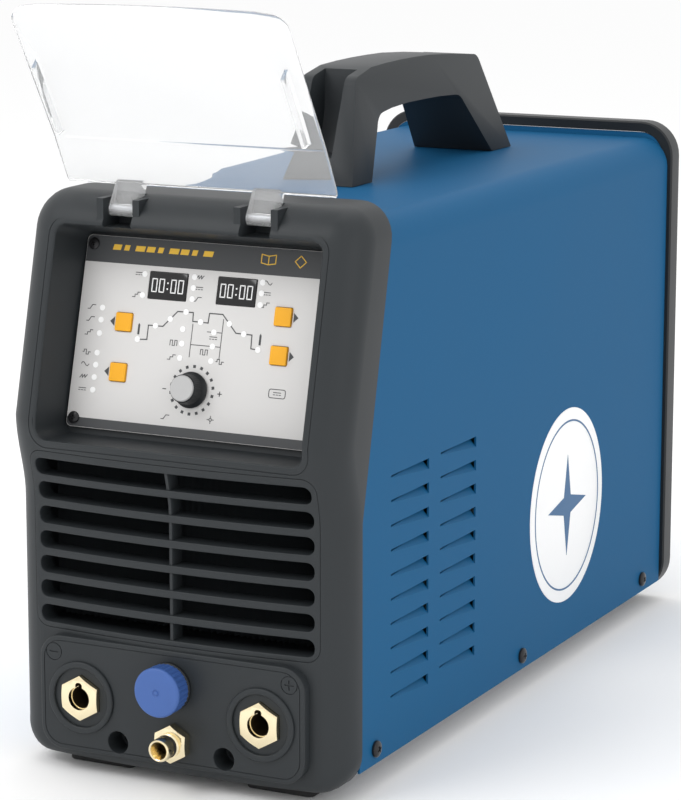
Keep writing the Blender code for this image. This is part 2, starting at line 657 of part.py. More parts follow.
def control_connector():
    place = front_matrix(0.0, 0.0, CONNECTOR_Z)
    seat = -PLATE_Y + GAP
    profile = [(0.0, 0.2490), (0.0095, 0.2490), (0.0100, 0.2485), (0.0100, seat + 0.0022),
               (0.0134, seat + 0.0022), (0.0134, seat), (0.0104, seat), (0.0104, 0.2180),
               (0.0, 0.2180)]
    turned("control_connector", profile, BLACK_PLASTIC, place)
    back = seat + 0.0026
    front = 0.2517
    cap = [(0.0, front), (CAP_R - 0.0012, front), (CAP_R, front - 0.0012), (CAP_R, back),
           (0.0105, back), (0.0105, 0.2494), (0.0, 0.2494)]
    turned("dust_cap", cap, CAP_BLUE, place, 24)


def gas_outlet():
    place = front_matrix(GAS_AT[0], 0.0, GAS_AT[1])
    seat = -PLATE_Y + GAP
    fitting = rod("gas_outlet", hex_radius(GAS_HEX), seat, 0.2432, BRASS,
                  place @ Matrix.Rotation(math.radians(90), 4, "Z"), (0, 0), 6)
    profile = [(0.0, 0.2552), (0.0054, 0.2552), (0.0063, 0.2543), (0.0063, 0.2492),
               (0.0052, 0.2482), (0.0052, 0.2460), (0.0068, 0.2450), (0.0068, 0.2425),
               (0.0058, 0.2420), (0.0058, 0.2120), (0.0042, 0.2110), (0.0042, 0.2010),
               (0.0, 0.2010)]
    join(fitting, turned("gas_nozzle", profile, None, place, 16))
    cut(fitting, rod("gas_bore", GAS_BORE_R, 0.195, 0.26, None, place, (0, 0), 12))


def bezel_screws():
    for sign in (-1, 1):
        screw("bezel_screw", (sign * DEEP_HOLE_X, DEEP_HOLE_Z), 0.0042, 0.0020, 0.0028, 0.024,
              front_matrix(), 0.2225)


# ---- enclosure ----
def channel_outline(half, low, top, radius, sheet):
    """A U-shaped sheet profile, open at the bottom, in X and Z."""
    outer = [(half, low)] + arc(half - radius, top - radius, radius, 0, 90, 5)
    outer += arc(-half + radius, top - radius, radius, 90, 180, 5) + [(-half, low)]
    r = radius - sheet
    inner = [(-half + sheet, low)] + arc(-half + radius, top - radius, r, 180, 90, 5)
    inner += arc(half - radius, top - radius, r, 90, 0, 5) + [(half - sheet, low)]
    return outer + inner


def cover():
    outline = channel_outline(COVER_HALF_W, COVER_BOTTOM, COVER_TOP, COVER_RADIUS, SHEET)
    shell = prism("cover", outline, -COVER_REAR, 0.24, BLUE_PAINT, front_matrix())
    trim = rear_trim("cover_front_trim", GAP)
    boolean(shell, trim, "INTERSECT")
    for sign in (-1, 1):
        for y in SIDE_SCREWS_Y:
            place = side_matrix(sign, 0.0, y, SIDE_SCREW_Z)
            cut(shell, rod("cover_screw_hole", SCREW_HOLE_R, 0.09, 0.11, None, place, (0, 0), 12))
            screw("cover_screw", (0, 0), 0.0046, 0.0019, 0.0028, 0.0070, place, COVER_HALF_W)
        x0, x1 = sorted((sign * (COVER_HALF_W - 0.01), sign * (COVER_HALF_W + 0.01)))
        for y0 in LOUVRE_STARTS:
            for row in range(LOUVRE_ROWS):
                z = LOUVRE_TOP - row * LOUVRE_PITCH
                low = (x0, y0 + LOUVRE_H, z - LOUVRE_H)
                high = (x1, y0 + LOUVRE_LENGTH, z)
                cut(shell, span("louvre_slot", low, high))


def base_chassis():
    """Folded tray with two front tabs and a rear flange."""
    half = COVER_HALF_W - SHEET - GAP
    low = COVER_BOTTOM + 0.0006
    front, rear = -0.2060, COVER_REAR - GAP
    tray = span("base_chassis", (-half, front, low), (half, rear, low + 0.0015), STEEL)
    for sign in (-1, 1):
        x0, x1 = sorted((sign * half, sign * (half - 0.0015)))
        join(tray, span("side_flange", (x0, front, low + 0.0005), (x1, rear, low + 0.018)))
        for y in SIDE_SCREWS_Y:
            cut(tray, rod("chassis_screw_hole", SCREW_HOLE_R, 0.09, 0.11, None,
                          side_matrix(sign, 0.0, y, SIDE_SCREW_Z), (0, 0), 12))
        x0, x1 = sorted((sign * 0.0260, sign * 0.0372))
        join(tray, span("front_tab", (x0, front, low + 0.0005), (x1, front + 0.0015, 0.0300)))
        cut(tray, rod("front_tab_hole", SCREW_HOLE_R, 0.19, 0.22, None, front_matrix(),
                      (sign * DEEP_HOLE_X, DEEP_HOLE_Z), 12))


def rear_frame():
    outline = rounded(-REAR_HALF_W, REAR_BOTTOM, REAR_HALF_W, REAR_TOP, REAR_CORNER, 5)
    frame = prism("rear_frame", outline, -REAR_Y[1], -REAR_Y[0], BLACK_PLASTIC, front_matrix())
    rim = REAR_RIM
    hole = rounded(-REAR_HALF_W + rim, REAR_BOTTOM + rim, REAR_HALF_W - rim, REAR_TOP - rim,
                   REAR_CORNER - rim, 5)
    cut(frame, prism("rear_opening", hole, -0.30, -0.20, None, front_matrix()))


def rear_panel():
    edge = REAR_RIM + GAP
    outline = rounded(-REAR_HALF_W + edge, REAR_BOTTOM + edge, REAR_HALF_W - edge,
                      REAR_TOP - edge, REAR_CORNER - edge, 4)
    panel = prism("rear_panel", outline, -REAR_PANEL_Y[1], -REAR_PANEL_Y[0], BLUE_PAINT,
                  front_matrix())
    through = front_matrix()
    cut(panel, rod("fan_opening", FAN_R, -0.25, -0.22, None, through, (0, FAN_Z), 32))
    x, z = SWITCH_AT
    cut(panel, span("switch_opening", (x - 0.0143, 0.23, z - 0.0113), (x + 0.0143, 0.25, z + 0.0113)))
    for (x, z), radius in ((GLAND_AT, 0.0105), (GAS_IN_AT, 0.0053), (EARTH_AT, 0.0033)):
        cut(panel, rod("rear_hole", radius, -0.25, -0.22, None, through, (x, z), 12))


# ---- rear equipment ----
def fan():
    half = FAN_SIZE / 2
    low, high = FAN_Y
    outline = rounded(-half, FAN_Z - half, half, FAN_Z + half, 0.006, 3)
    housing = prism("fan_housing", outline, -high, -low, BLACK_PLASTIC, front_matrix())
    cut(housing, rod("fan_tunnel", FAN_R, -0.26, -0.19, None, front_matrix(), (0, FAN_Z), 36))
    join(housing, rod("motor_seat", 0.0190, -low - 0.0030, -low, None, front_matrix(), (0, FAN_Z), 20))
    for angle in (45, 135, 225, 315):
        spoke_place = front_matrix(0, 0, FAN_Z) @ Matrix.Rotation(math.radians(angle), 4, "Z")
        join(housing, span("spoke", (0.0150, -0.0022, -low - 0.0029), (0.0580, 0.0022, -low - 0.0001),
                           None, spoke_place))
    place = rear_matrix(0, 0, FAN_Z)
    hub0, hub1 = low + 0.0040, high - 0.0030
    rotor = rod("fan_rotor", 0.0185, hub0, hub1, BLACK_PLASTIC, place, (0, 0), 24)
    for blade in range(7):
        turn = Matrix.Rotation(math.tau * blade / 7, 4, "Z")
        pitch = Matrix.Rotation(math.radians(35), 4, "X")
        spot = place @ turn @ Matrix.Translation((0.035, 0, (hub0 + hub1) / 2)) @ pitch
        join(rotor, box("blade", (0.038, 0.022, 0.0016), (0, 0, 0), None, spot))
    guard_y = REAR_PANEL_Y[1] + GAP
    ring = [(0.0592, guard_y + 0.0030), (0.0592, guard_y), (0.0566, guard_y),
            (0.0566, guard_y + 0.0030)]
    guard = turned("fan_guard", ring, BLACK_PLASTIC, place, ROUND_STEPS, True)
    for radius in (0.0440, 0.0280):
        hoop = [(radius + 0.0009, guard_y + 0.0030), (radius + 0.0009, guard_y + 0.0012),
                (radius - 0.0009, guard_y + 0.0012), (radius - 0.0009, guard_y + 0.0030)]
        join(guard, turned("guard_hoop", hoop, None, place, ROUND_STEPS, True))
    for angle in (0, 90):
        turn = place @ Matrix.Rotation(math.radians(45 + angle), 4, "Z")
        join(guard, span("guard_bar", (-0.0575, -0.0010, guard_y + 0.0008),
                         (0.0575, 0.0010, guard_y + 0.0026), None, turn))


def mains_switch():
    x, z = SWITCH_AT
    place = rear_matrix(x, 0.0, z)
    y = REAR_PANEL_Y[1] + GAP
    body = span("mains_switch", (-0.0165, -0.0130, y), (0.0165, 0.0130, y + 0.0022), BLACK_PLASTIC,
                place)
    join(body, span("switch_body", (-0.0140, -0.0110, y - 0.026), (0.0140, 0.0110, y + 0.001), None,
                    place))
    cut(body, span("rocker_well", (-0.0118, -0.0088, y - 0.010), (0.0118, 0.0088, y + 0.01), None,
                   place))
    wedge = [(-0.0106, 0.0048), (-0.0106, -0.0030), (-0.0075, -0.0060), (0.0075, -0.0060),
             (0.0108, -0.0030), (0.0108, 0.0012), (0.0, 0.0024)]
    turn = Matrix.Rotation(math.radians(90), 4, "X")
    prism("switch_rocker", wedge, -0.0080, 0.0080, BLACK_PLASTIC, rear_matrix(x, y, z) @ turn)


def rear_fittings():
    y = REAR_PANEL_Y[1] + GAP
    place = rear_matrix(GLAND_AT[0], 0.0, GLAND_AT[1])
    gland = rod("mains_cable_gland", 0.0138, y, y + 0.0060, BLACK_PLASTIC, place, (0, 0), 6)
    nut = [(0.0062, 0.2580), (0.0088, 0.2578), (0.0112, 0.2540), (0.0118, 0.2500), (0.0118, y + 0.005),
           (0.0100, y + 0.004), (0.0100, 0.2280), (0.0062, 0.2280)]
    join(gland, turned("gland_nut", nut, None, place, ROUND_STEPS, True))
    cut(gland, rod("gland_bore", 0.0064, 0.22, 0.27, None, place, (0, 0), 20))
    place = rear_matrix(GAS_IN_AT[0], 0.0, GAS_IN_AT[1])
    inlet = rod("gas_inlet", 0.0080, y, y + 0.0060, BRASS, place, (0, 0), 6)
    barb = [(0.0, 0.2580), (0.0034, 0.2580), (0.0044, 0.2548), (0.0036, 0.2548), (0.0046, 0.2510),
            (0.0036, 0.2510), (0.0036, y + 0.005), (0.0050, y + 0.004), (0.0050, 0.2150), (0.0, 0.2150)]
    join(inlet, turned("inlet_barb", barb, None, place, 20))
    cut(inlet, rod("inlet_bore", 0.0022, 0.20, 0.27, None, place, (0, 0), 12))
    place = rear_matrix(EARTH_AT[0], 0.0, EARTH_AT[1])
    stud = rod("earth_stud", 0.0065, y, y + 0.0050, BRASS, place, (0, 0), 6)
    join(stud, rod("stud_thread", 0.0030, 0.2290, 0.2530, None, place, (0, 0), 16))


# ---- handle and feet ----
def handle():
    """Carrying handle: a tapered loop with a notch in its front leg."""
    base = COVER_TOP + GAP
    outer = [(-0.0700, 0.0), (-0.0470, 0.0575), (-0.0440, 0.0612), (-0.0250, 0.0636),
             (0.0150, 0.0649), (0.0560, 0.0646), (0.1200, 0.0600), (0.1262, 0.0575), (0.1555, 0.0)]
    grip = [(-0.0445, -0.01), (-0.0445, 0.0), (-0.0250, 0.0340), (-0.0200, 0.0368), (-0.0060, 0.0386),
            (0.0160, 0.0397), (0.0624, 0.0394), (0.0860, 0.0382), (0.0930, 0.0360), (0.1040, 0.0318),
            (0.1259, 0.0), (0.1259, -0.01)]
    loop = prism("handle", outer, -1.0, 1.0, DARK_PLASTIC, along_x())
    for vert in loop.data.vertices:
        half = HANDLE_BASE_HALF - HANDLE_TAPER * vert.co.y
        vert.co.z = math.copysign(half, vert.co.z)
        vert.co.y += base
    opening = [(y, h + base) for y, h in grip]
    cut(loop, prism("grip_opening", opening, -0.06, 0.06, None, along_x()))
    notch = [(-0.10, 0.0150), (-0.0415, 0.0150), (-0.0350, 0.0262), (-0.0315, 0.0400),
             (-0.0290, 0.10), (-0.10, 0.10)]
    cut(loop, prism("front_notch", [(y, h + base) for y, h in notch], -0.0103, 0.0103, None, along_x()))
    for index, y in enumerate(HANDLE_SCREWS_Y, 1):
        cut(loop, rod("handle_insert", SCREW_HOLE_R, base - 0.01, base + 0.012, None, None,
                      (0.0, y), 12))
        shaft = [(0.0, base + 0.0105), (0.0019, base + 0.0105), (0.0019, COVER_TOP - SHEET - GAP),
                 (0.0045, COVER_TOP - SHEET - GAP), (0.0045, COVER_TOP - SHEET - 0.0035),
                 (0.0, COVER_TOP - SHEET - 0.0035)]
        place = Matrix.Translation((0.0, y, 0.0))
        turned(f"handle_screw_{index}", shaft, STEEL, place, 14)


def handle_holes():
    for y in HANDLE_SCREWS_Y:
        hole = rod("handle_hole", SCREW_HOLE_R + 0.0001, 0.29, 0.32, None, None, (0.0, y), 12)
        cut(bpy.data.objects["cover"], hole)


def feet():
    for end, y0, y1, stem in (("front", -0.2175, -0.1860, (-0.2055, -0.1900)),
                              ("rear", 0.1950, 0.2340, (0.1990, 0.2300))):
        for side, sign in (("left", -1), ("right", 1)):
            x = sign * FOOT_X
            foot = span(f"{end}_foot_{side}", (x - 0.0205, y0, 0.0), (x + 0.0205, y1, 0.0056),
                        RUBBER, None, 0.0012, 2)
            join(foot, span("foot_stem", (x - 0.0150, stem[0], 0.0040), (x + 0.0150, stem[1], 0.0150)))


# ---- power electronics and gas ----
def heatsink():
    """Extruded aluminium sink that the output stage sits on."""
    base_z, fin_top, base_t = 0.0560, 0.0900, 0.0060
    fins, fin_t, half = 12, 0.0022, 0.0700
    pitch = (2 * half - fin_t) / (fins - 1)
    outline = [(half, base_z), (half, fin_top)]
    for i in range(fins):
        right = half - i * pitch
        outline += [] if i == 0 else [(right, base_z + base_t), (right, fin_top)]
        outline += [(right - fin_t, fin_top)]
        outline += [] if i == fins - 1 else [(right - fin_t, base_z + base_t)]
    outline += [(-half, base_z)]
    prism("heatsink", outline, -0.0800, 0.0800, ALUMINIUM, front_matrix())


def inverter_board():
    z = 0.1050
    board = span("inverter_board", (-0.0780, -0.1000, z), (0.0780, 0.0900, z + 0.0016), BOARD)
    for x in (-0.050, -0.010, 0.030):
        join(board, rod("bus_capacitor", 0.0160, z + 0.001, z + 0.047, None, None, (x, 0.060), 20))
    join(board, span("driver_card", (-0.0600, -0.0600, z + 0.001), (0.0300, -0.0584, z + 0.050)))


def magnetics():
    core = span("main_transformer", (-0.0450, 0.1200, 0.0190), (0.0250, 0.1800, 0.0290), COPPER)
    join(core, span("core_top", (-0.0450, 0.1200, 0.0640), (0.0250, 0.1800, 0.0740)))
    for x in (-0.0450, 0.0150):
        join(core, span("core_leg", (x, 0.1200, 0.0250), (x + 0.0100, 0.1800, 0.0700)))
    join(core, rod("winding", 0.0220, 0.0280, 0.0650, None, None, (-0.0100, 0.1500), 24))
    ring = [(0.0320 + 0.011 * math.cos(a), 0.0330 + 0.011 * math.sin(a))
            for a in (math.tau * i / 8 for i in range(8, 0, -1))]
    turned("output_inductor", ring, COPPER, Matrix.Translation((-0.0300, -0.1350, 0.0)), 18, True)


def gas_valve_and_hose():
    """Solenoid valve on the gas inlet, and the tube from it to the front outlet."""
    x, z = GAS_IN_AT
    valve = span("gas_solenoid_valve", (x - 0.013, 0.1880, z - 0.010), (x + 0.013, 0.2146, z + 0.010),
                 BRASS)
    join(valve, rod("valve_coil", 0.0110, z + 0.009, z + 0.038, None, None, (x, 0.2010), 20))
    hose("gas_hose", (Vector((x, 0.1877, z)), Vector((x + 0.002, 0.1700, z)),
                      Vector((0.0780, 0.1000, 0.0620)), Vector((0.0860, 0.0200, 0.0440)),
                      Vector((0.0850, -0.0800, 0.0300)), Vector((0.0520, -0.1450, 0.0240)),
                      Vector((0.0100, -0.1780, 0.0262)), Vector((GAS_AT[0], -0.2000, GAS_AT[1]))))


def hose(name, points):
    """A gas tube through a few points, sampled from a smooth curve."""
    count = 5                # samples between two points
    route = []
    for i in range(len(points) - 1):
        before = points[max(i - 1, 0)]
        after = points[min(i + 2, len(points) - 1)]
        a, b = points[i], points[i + 1]
        for step in range(count if i < len(points) - 2 else count + 1):
            t = step / count
            squared = (2 * before - 5 * a + 4 * b - after) * t ** 2
            cubed = (3 * a - before - 3 * b + after) * t ** 3
            route.append(0.5 * (2 * a + (b - before) * t + squared + cubed))
    curve = bpy.data.curves.new(name, "CURVE")
    curve.dimensions = "3D"
    curve.bevel_depth = HOSE_R
    curve.bevel_resolution = 2
    curve.use_fill_caps = True
    spline = curve.splines.new("POLY")
    spline.points.add(len(route) - 1)
    for point, co in zip(spline.points, route):
        point.co = (*co, 1.0)
    curve.materials.append(BLACK_PLASTIC)
    obj = bpy.data.objects.new(name, curve)
    PARTS.objects.link(obj)


front_bezel()
front_grille()
control_panel()
displays()
buttons()
encoder()
control_board()
lid()
hinge_pins()
output_sockets()
control_connector()
gas_outlet()
bezel_screws()
cover()
base_chassis()
rear_frame()
rear_panel()
fan()
mains_switch()
rear_fittings()
handle()
handle_holes()
feet()
heatsink()
inverter_board()
magnetics()
gas_valve_and_hose()
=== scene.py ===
"""Looks of the TIG welding machine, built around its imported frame."""

import json
import math

import bmesh
import bpy
from mathutils import Matrix, Vector


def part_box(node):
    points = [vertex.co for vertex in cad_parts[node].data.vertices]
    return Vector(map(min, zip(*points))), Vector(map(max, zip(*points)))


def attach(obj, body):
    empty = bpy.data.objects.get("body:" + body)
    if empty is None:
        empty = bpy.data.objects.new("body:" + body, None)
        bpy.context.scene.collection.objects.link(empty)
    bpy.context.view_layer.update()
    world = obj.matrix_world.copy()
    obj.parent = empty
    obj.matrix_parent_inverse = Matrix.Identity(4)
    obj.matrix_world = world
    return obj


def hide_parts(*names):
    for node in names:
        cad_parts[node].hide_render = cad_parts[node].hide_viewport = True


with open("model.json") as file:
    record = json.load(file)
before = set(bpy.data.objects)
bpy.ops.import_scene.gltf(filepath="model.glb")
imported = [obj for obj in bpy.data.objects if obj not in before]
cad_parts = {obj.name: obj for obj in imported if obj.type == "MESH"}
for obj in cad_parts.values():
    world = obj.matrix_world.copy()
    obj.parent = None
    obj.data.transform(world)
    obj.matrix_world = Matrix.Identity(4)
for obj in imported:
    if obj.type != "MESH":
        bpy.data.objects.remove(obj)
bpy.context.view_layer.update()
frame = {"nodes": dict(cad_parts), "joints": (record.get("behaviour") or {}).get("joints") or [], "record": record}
NODES = frame["nodes"]

# ---- camera, stage and light ----
LENS_MM, SENSOR_MM = 135.49, 36.0
CAMERA_AT = (0.77448, -1.58431, 0.52721)
CAMERA_TILT, CAMERA_TURN = math.radians(78.5851), math.radians(26.5105)
AIM_AT = Vector((0.0, 0.0, 0.18))
FLOOR_HALF, FLOOR_DROP, FLOOR_GREY = 6.0, 0.0002, 0.97
LIGHTS = (("key", (-0.9, -1.5, 1.9), (1.2, 0.8), 13.0),
          ("side", (1.9, -0.9, 0.9), (0.8, 1.2), 3.0),
          ("top", (-0.3, 0.4, 1.8), (1.6, 1.6), 6.0))


def put(node, **values):
    """Sets a node's inputs; an underscore in a name stands for a space."""
    for name, value in values.items():
        node.inputs[name.replace("_", " ")].default_value = value
    return node


def link_new(name, data):
    obj = bpy.data.objects.new(name, data)
    bpy.context.scene.collection.objects.link(obj)
    return obj


def new_material(name):
    mat = bpy.data.materials.new(name)
    mat.use_nodes = True
    return mat, mat.node_tree.nodes, mat.node_tree.links


def make_camera():
    data = bpy.data.cameras.new("camera")
    data.sensor_width = SENSOR_MM
    data.lens = LENS_MM
    camera = link_new("camera", data)
    camera.location = CAMERA_AT
    camera.rotation_euler = (CAMERA_TILT, 0.0, CAMERA_TURN)
    bpy.context.scene.camera = camera


def area_light(name, location, size, power):
    data = bpy.data.lights.new(name, "AREA")
    data.shape = "RECTANGLE"
    data.size, data.size_y = size
    data.energy = power
    light = link_new(name, data)
    light.location = location
    light.rotation_euler = (AIM_AT - Vector(location)).to_track_quat("-Z", "Y").to_euler()


def make_stage():
    """White world, pale floor and three soft lights."""
    world = bpy.data.worlds.new("studio")
    bpy.context.scene.world = world
    world.use_nodes = True
    put(world.node_tree.nodes["Background"], Color=(1.0, 1.0, 1.0, 1.0), Strength=1.0)
    bm = bmesh.new()
    bmesh.ops.create_grid(bm, x_segments=4, y_segments=4, size=FLOOR_HALF)
    mesh = bpy.data.meshes.new("floor")
    bm.to_mesh(mesh)
    bm.free()
    mat, nodes, _ = new_material("pale_floor")
    put(nodes["Principled BSDF"], Base_Color=(FLOOR_GREY, FLOOR_GREY, FLOOR_GREY, 1.0), Roughness=0.9,
        Specular_IOR_Level=0.0)
    mesh.materials.append(mat)
    floor = link_new("floor", mesh)
    floor.location.z = -FLOOR_DROP
    for light in LIGHTS:
        area_light(*light)
    bpy.context.scene.view_settings.view_transform = "Standard"


make_camera()
make_stage()


# ---- finishes ----
def surface(name, colour, roughness, metallic=0.0, drift=0.06, patch=9.0, grain=1800.0,
            bump=0.12, height=0.00004, stretch=(1.0, 1.0, 1.0), sheen=0.5):
    """A surface whose colour and roughness drift a little, with a fine grain."""
    rough_drift = 0.05
    mat, nodes, links = new_material(name)
    shader = put(nodes["Principled BSDF"], Metallic=metallic, Specular_IOR_Level=sheen)
    coords = nodes.new("ShaderNodeTexCoord")
    mapping = put(nodes.new("ShaderNodeMapping"), Scale=stretch)
    links.new(coords.outputs["Object"], mapping.inputs["Vector"])

    wide = put(nodes.new("ShaderNodeTexNoise"), Scale=patch, Detail=5.0)
    links.new(mapping.outputs["Vector"], wide.inputs["Vector"])
    mix = nodes.new("ShaderNodeMix")
    mix.data_type = "RGBA"
    put(mix, A=(*[c * (1 - drift) for c in colour], 1.0),
        B=(*[min(c * (1 + drift), 1.0) for c in colour], 1.0))
    links.new(wide.outputs["Fac"], mix.inputs["Factor"])
    links.new(mix.outputs["Result"], shader.inputs["Base Color"])
    rough = put(nodes.new("ShaderNodeMapRange"), To_Min=max(roughness - rough_drift, 0.02),
                To_Max=min(roughness + rough_drift, 1.0))
    links.new(wide.outputs["Fac"], rough.inputs["Value"])
    links.new(rough.outputs["Result"], shader.inputs["Roughness"])

    fine = put(nodes.new("ShaderNodeTexNoise"), Scale=grain, Detail=2.0)
    links.new(mapping.outputs["Vector"], fine.inputs["Vector"])
    relief = put(nodes.new("ShaderNodeBump"), Strength=bump, Distance=height)
    links.new(fine.outputs["Fac"], relief.inputs["Height"])
    links.new(relief.outputs["Normal"], shader.inputs["Normal"])
    return mat


PLASTIC = surface("bezel_plastic_look", (0.024, 0.028, 0.031), 0.46, grain=2600, bump=0.22, sheen=0.30)
PLASTIC_DARK = surface("dark_plastic_look", (0.012, 0.014, 0.016), 0.44, grain=2600, bump=0.2, sheen=0.35)
PAINT = surface("blue_powder_coat", (0.011, 0.100, 0.228), 0.52, drift=0.04, patch=5.0, grain=900.0,
                bump=0.10, height=0.00006, sheen=0.07)
STEEL = surface("zinc_look", (0.56, 0.57, 0.60), 0.38, 1.0, 0.10, 40.0, 500.0, 0.15, stretch=(1, 0.15, 1))
BRASS = surface("brass_look", (0.92, 0.80, 0.54), 0.20, 1.0, 0.06, 60.0, 1500.0, 0.08)
ALUMINIUM = surface("aluminium_look", (0.78, 0.79, 0.80), 0.36, 1.0, 0.05, 30.0, 700.0, 0.2,
                    stretch=(1, 0.1, 1))
FACE = surface("panel_face_look", (0.68, 0.67, 0.66), 0.42, drift=0.015, grain=3000, bump=0.06)
GLOSS_BLACK = surface("display_look", (0.004, 0.004, 0.005), 0.10, drift=0.02, bump=0.0)
YELLOW = surface("button_look", (0.90, 0.42, 0.006), 0.5, drift=0.03, bump=0.08)
CAP_BLUE = surface("cap_look", (0.045, 0.115, 0.36), 0.50, patch=60.0, bump=0.2)
CAP_GREY = surface("knob_cap_look", (0.46, 0.46, 0.46), 0.40, drift=0.02)
RUBBER = surface("rubber_look", (0.018, 0.018, 0.019), 0.75, drift=0.15, patch=50.0, bump=0.5)
BOARD = surface("board_look", (0.03, 0.16, 0.07), 0.5, drift=0.2, patch=120.0)
COPPER = surface("winding_look", (0.62, 0.28, 0.13), 0.35, 0.9, 0.15, 150.0, 400.0, 0.6)
SCREW_BLACK = surface("black_screw_look", (0.020, 0.020, 0.022), 0.30, 0.4, 0.1)
BORE_DARK = surface("shadowed_bore", (0.05, 0.035, 0.015), 0.55, 0.6, 0.1, bump=0.05)
INK_DARK = surface("ink_dark", (0.055, 0.058, 0.062), 0.42, drift=0.02, bump=0.05)
INK_WHITE = surface("ink_white", (0.95, 0.95, 0.95), 0.35, drift=0.01, bump=0.03)
INK_YELLOW = surface("ink_yellow", (0.90, 0.55, 0.05), 0.40, drift=0.02, bump=0.03)
BADGE_WHITE = surface("badge_white", (0.93, 0.93, 0.93), 0.35, drift=0.01, bump=0.03)
BADGE_BLUE = surface("badge_blue", (0.014, 0.105, 0.25), 0.45, drift=0.02, bump=0.03)


def clear_plastic():
    mat, nodes, links = new_material("clear_polycarbonate_look")
    shader = put(nodes["Principled BSDF"], Base_Color=(0.99, 0.995, 1.0, 1.0), Transmission_Weight=0.80,
                 IOR=1.12)
    coords = nodes.new("ShaderNodeTexCoord")
    smudge = put(nodes.new("ShaderNodeTexNoise"), Scale=30.0)
    links.new(coords.outputs["Object"], smudge.inputs["Vector"])
    rough = put(nodes.new("ShaderNodeMapRange"), To_Min=0.01, To_Max=0.06)
    links.new(smudge.outputs["Fac"], rough.inputs["Value"])
    links.new(rough.outputs["Result"], shader.inputs["Roughness"])
    return mat


CLEAR = clear_plastic()

NODE_FINISH = {
    "bezel_plastic": PLASTIC, "black_plastic": PLASTIC_DARK, "blue_paint": PAINT,
    "zinc_steel": STEEL, "brass": BRASS, "aluminium": ALUMINIUM, "panel_face": FACE,
    "display": GLOSS_BLACK, "button_yellow": YELLOW, "cap_blue": CAP_BLUE, "knob_grey": CAP_GREY,
    "clear_polycarbonate": CLEAR, "rubber": RUBBER, "circuit_board": BOARD, "copper": COPPER,
    "black_screw": SCREW_BLACK,
}


def dress_cad_nodes():
    """Every CAD node gets the look of its material slot; most are replaced below."""
    for entry in frame["record"]["subparts"]:
        for slot in NODES[entry["node"]].material_slots:
            slot.material = NODE_FINISH[entry["material_slot"]]


dress_cad_nodes()


# ---- modelling helpers ----
def finish_mesh(mesh, angle):
    mesh.shade_smooth()
    mesh.set_sharp_from_angle(angle=math.radians(angle))


def add(name, bm, mats, angle=32.0):
    """Links a bmesh as an object, smooth shaded with its real edges sharp."""
    bmesh.ops.recalc_face_normals(bm, faces=bm.faces)
    mesh = bpy.data.meshes.new(name)
    bm.to_mesh(mesh)
    bm.free()
    for mat in mats if isinstance(mats, (list, tuple)) else [mats]:
        mesh.materials.append(mat)
    finish_mesh(mesh, angle)
    return link_new(name, mesh)


def baked(obj, angle=32.0):
    """Applies an object's modifiers to its mesh."""
    graph = bpy.context.evaluated_depsgraph_get()
    mesh = bpy.data.meshes.new_from_object(obj.evaluated_get(graph))
    obj.modifiers.clear()
    obj.data = mesh
    finish_mesh(mesh, angle)
    return obj


def carve(obj, operation, *others, finish=False):
    """Boolean of an object with helpers, which are then removed; finish keeps their look on the cut."""
    for other in others:
        mod = obj.modifiers.new("carve", "BOOLEAN")
        mod.material_mode = "TRANSFER" if finish else "INDEX"
        mod.operation = operation
        mod.solver = "EXACT"
        mod.object = other
    baked(obj)
    for other in others:
        bpy.data.objects.remove(other, do_unlink=True)
    return obj


def cut(obj, *others, finish=False):
    return carve(obj, "DIFFERENCE", *others, finish=finish)


def join(obj, *others):
    return carve(obj, "UNION", *others)


def soften(obj, width, segments=2, angle=40.0):
    """Rounds the real edges of a piece."""
    mod = obj.modifiers.new("round", "BEVEL")
    mod.width = width
    mod.segments = segments
    mod.limit_method = "ANGLE"
    mod.angle_limit = math.radians(angle)
    even = obj.modifiers.new("even", "WEIGHTED_NORMAL")
    even.keep_sharp = True
    even.weight = 100
    return baked(obj, 50.0)


def show(obj, body, slot, *replaced):
    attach(obj, body)
    if replaced:
        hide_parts(*replaced)


def skin(bm, loops, around=False, closed=True):
    """Faces between successive loops; around joins the last to the first, closed joins each loop's ends."""
    pairs = list(zip(loops, loops[1:]))
    if around:
        pairs.append((loops[-1], loops[0]))
    for a, b in pairs:
        for i in range(len(a) if closed else len(a) - 1):
            j = (i + 1) % len(a)
            bm.faces.new((a[i], a[j], b[j], b[i]))


def cap_ends(bm, first, last):
    bm.faces.new(list(reversed(first)))
    bm.faces.new(last)


def loops_in(bm, rings, place=Matrix.Identity(4)):
    return [[bm.verts.new(place @ Vector(p)) for p in ring] for ring in rings]


def loft(name, rings, mats, place=Matrix.Identity(4), around=False, angle=32.0):
    """Skins closed loops of points; around joins the last ring to the first."""
    bm = bmesh.new()
    loops = loops_in(bm, rings, place)
    skin(bm, loops, around)
    if not around:
        cap_ends(bm, loops[0], loops[-1])
    return add(name, bm, mats, angle)


def polar(radius, angle, *rest):
    return (radius * math.cos(angle), radius * math.sin(angle), *rest)


def turns(steps, start=0.0):
    """The angles of a full turn in equal steps."""
    return [math.tau * k / steps + start for k in range(steps)]


def lathe(name, profile, mats, place, steps=48, ring=False):
    """Turns (radius, height) points about local Z; ring joins the profile's ends."""
    bm = bmesh.new()
    loops = loops_in(bm, [[polar(r, a, h) for r, h in profile] for a in turns(steps)], place)
    skin(bm, loops, True, ring)
    bmesh.ops.remove_doubles(bm, verts=bm.verts, dist=1e-7)
    return add(name, bm, mats)


def arc(cx, cy, radius, start, end, steps):
    angles = [math.radians(start + (end - start) * i / steps) for i in range(steps + 1)]
    return [(cx + radius * math.cos(a), cy + radius * math.sin(a)) for a in angles]


def quarter(steps, first=0):
    """Shares (inward, down) of an edge radius along its rounding, from its front to its side."""
    angles = [math.pi / 2 * k / steps for k in range(first, steps + 1)]
    return [(1 - math.cos(a), 1 - math.sin(a)) for a in angles]


